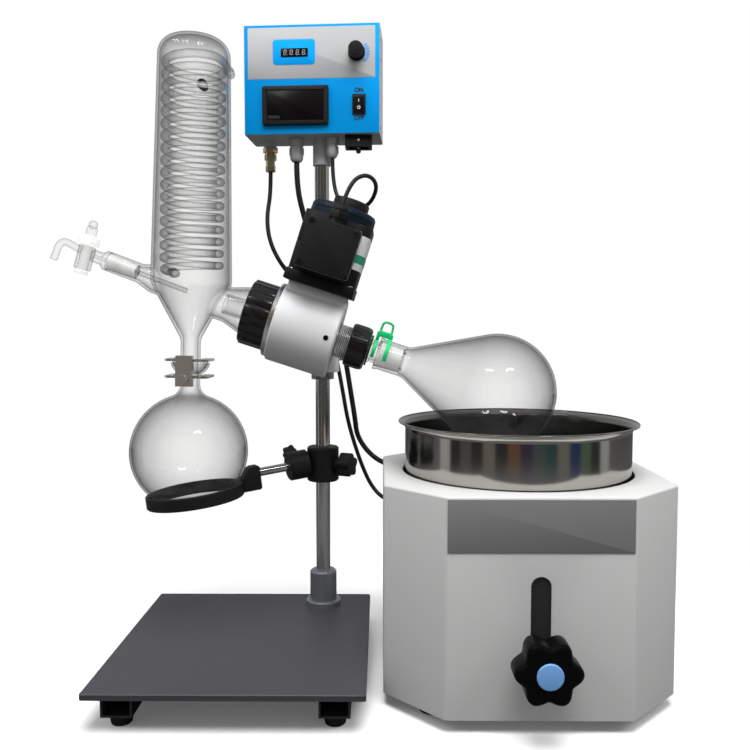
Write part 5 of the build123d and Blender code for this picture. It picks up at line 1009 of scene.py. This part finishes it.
# Cables, each along a line of points from its gland at the box
sensor_points = [
    (-93, 122, 563), (-93, 122, 538), (-97.5, 117, 509), (-94, 112, 481), (-82, 113, 455), (-65, 125, 434),
    (-47, 143, 416), (-31, 150, 382), (-17, 150, 343), (-9, 149, 300), (-3, 154, 262), (6, 162, 228),
    (15, 171, 200), (26, 177, 174), (42.43, 166.07, 158), (58.69, 149.81, 158),
]
heater_points = [
    (-60, 105, 571), (-60, 105, 543), (-53, 110, 511), (-43, 128, 473), (-30, 146, 430), (-14, 152, 382),
    (-5, 153, 336), (1, 158, 296), (6, 166, 262), (8, 177, 239), (22, 178, 217), (42.43, 166.07, 204),
    (58.69, 149.81, 204),
]
motor_points = [
    (-17.5, 98, 574), (-17.5, 98, 549), (-10, 92, 522), (8, 80, 512), (27, 62, 515), (36, 38, 533),
    (24, 14, 541), (6.36, 1, 529.53), (-1.36, 1, 505.75),
]
sensor = tube("sensor_lead", sensor_points, 2.5, cable_black, "stand", replaces=["sensor_cable"])
heater = tube("heater_lead", heater_points, 3.2, cable_black, "stand", replaces=["heater_cable"])

# The motor lead is a mesh, running between the stand and the head
line = tube("motor_line", motor_points, 0, cable_black, "stand")
motor_path = [tuple(vertex.co) for vertex in mesh_of(line).vertices]
lead_mesh = mesh_of(tube("motor_skin", motor_points, 2.25, cable_black, "stand"))
motor_lead = linked("motor_lead", lead_mesh)
for face in lead_mesh.polygons:
    face.use_smooth = True
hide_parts("motor_cable")
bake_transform(motor_lead)


# Studio: pale floor, bright surroundings, soft lights and dark strips for the mirrors
def emission(name, shade, strength):
    material = bpy.data.materials.new(name)
    tree = bare(material)
    light = node(tree, "Emission", {"Color": colour(*shade), "Strength": strength})
    node(tree, "OutputMaterial", {"Surface": light.outputs[0]})
    return material


def staged(name, shape, material, place=upright):
    thing = placed(name, shape, material, place)
    return thing


# Something that only mirrors and glossy parts see
def mirrored(name, shape, material, place):
    thing = staged(name, shape, material, place)
    thing.visible_camera = False
    thing.visible_diffuse = False
    thing.visible_shadow = False
    thing.visible_transmission = False


# The floor is pale and fades to white for the camera, and darker for mirrors and other light
fade_start, fade_end, floor_glow = 0.42, 0.75, 0.085
floor_material = bpy.data.materials.new("Pale floor")
tree = bare(floor_material)
seen = node(tree, "LightPath", {}).outputs["Is Camera Ray"]
floor_shades = {"A": colour(0.12, 0.12, 0.12), "B": colour(0.93, 0.93, 0.93), "Factor": seen}
floor_shade = node(tree, "Mix", floor_shades, data_type="RGBA")
diffuse = node(tree, "BsdfDiffuse", {"Color": floor_shade.outputs["Result"]})
lifted = node(tree, "Math", {0: seen, 1: floor_glow}, operation="MULTIPLY")
glow = node(tree, "Emission", {"Strength": lifted.outputs[0]})
surface = node(tree, "AddShader", {0: diffuse.outputs[0], 1: glow.outputs[0]})
spot = node(tree, "TexCoord", {}).outputs["Object"]
reach = node(tree, "VectorMath", {0: spot}, operation="LENGTH").outputs["Value"]
fade_range = {"From Min": fade_start, "From Max": fade_end, "Value": reach}
fade = node(tree, "MapRange", fade_range, interpolation_type="SMOOTHSTEP")
fade_seen = node(tree, "Math", {0: fade.outputs["Result"], 1: seen}, operation="MULTIPLY")
white = node(tree, "Emission", {})
mix = node(tree, "MixShader", {"Fac": fade_seen.outputs[0], 1: surface.outputs[0], 2: white.outputs[0]})
node(tree, "OutputMaterial", {"Surface": mix.outputs[0]})
staged("floor", raised(circle(4000, count=96), 2, base=-2), floor_material)

world = bpy.data.worlds.new("Studio")
bpy.context.scene.world = world
tree = bare(world)
path = node(tree, "LightPath", {}).outputs
seen = node(tree, "Math", {0: path["Is Camera Ray"], 1: path["Is Transmission Ray"]}, operation="MAXIMUM")
around = node(tree, "Background", {"Color": colour(0.34, 0.34, 0.345)})
white = node(tree, "Background", {"Color": colour(1, 1, 1)})
mix = node(tree, "MixShader", {"Fac": seen.outputs[0], 1: around.outputs[0], 2: white.outputs[0]})
node(tree, "OutputWorld", {"Surface": mix.outputs[0]})

# Upright strips in front, seen only in mirrors
room_dark = (0.03, 0.03, 0.03)
room_shades = [
    (0.5, 0.5, 0.48), room_dark, (0.1, 0.1, 0.09), room_dark, (0.2, 0.18, 0.15), room_dark, (0.16, 0.09, 0.05),
    (0.05, 0.03, 0.07), (0.07, 0.1, 0.09), (0.03, 0.07, 0.07), (0.2, 0.2, 0.16), (0.02, 0.04, 0.13),
    (0.1, 0.15, 0.1), room_dark, (0.45, 0.45, 0.43),
]
room_radius, room_spread = 980, 160
for number, shade in enumerate(room_shades):
    angle = radians(-90 - room_spread / 2 + room_spread * number / (len(room_shades) - 1))
    middle = at(bath_x + room_radius * cos(angle), bath_y + room_radius * sin(angle))
    strip = block(210, 2, 1300, centre=(0, 0, 640))
    turn = middle @ Matrix.Rotation(angle + pi / 2, 4, "Z")
    mirrored("room_strip_%d" % number, strip, emission("Room %d" % number, shade, 1), turn)


def soft_light(name, position, target, size, power):
    lamp = bpy.data.lights.new(name, "AREA")
    lamp.shape = "DISK"
    lamp.size = size
    lamp.energy = power
    thing = linked(name, lamp)
    thing.location = position
    thing.rotation_euler = (Vector(target) - Vector(position)).to_track_quat("-Z", "Y").to_euler()
    thing.visible_glossy = False


soft_light("light_overhead", (0.15, -0.6, 2.05), (0.05, 0.05, 0.2), 1.5, 58)
soft_light("light_left", (-1.4, -0.8, 1.5), (0, 0, 0.3), 0.8, 8)
soft_light("light_right", (1.6, -0.7, 1.5), (0, 0, 0.3), 0.8, 11)

# Three ring lamps, seen only as small rings in the glass and on the glossy parts
for number, (x, y) in enumerate(((-700, -1600), (900, -1600), (-1440, -710))):
    ring = turned([(200, -10), (350, -10), (350, 0), (200, 0)], 48)
    mirrored("ring_lamp_%d" % number, ring, emission("Ring lamp %d" % number, (1, 1, 1), 14), at(x, y, 2000))

camera = bpy.data.cameras.new("Camera")
camera.lens = 38.4
camera.sensor_width = 36
camera.clip_start = 0.01
viewer = linked("Camera", camera)
viewer.location = (0.039, -0.846, 0.378)
viewer.rotation_euler = (radians(90 - 3.43), 0, radians(0.43))
bpy.context.scene.camera = viewer
bpy.context.scene.view_settings.view_transform = "Standard"
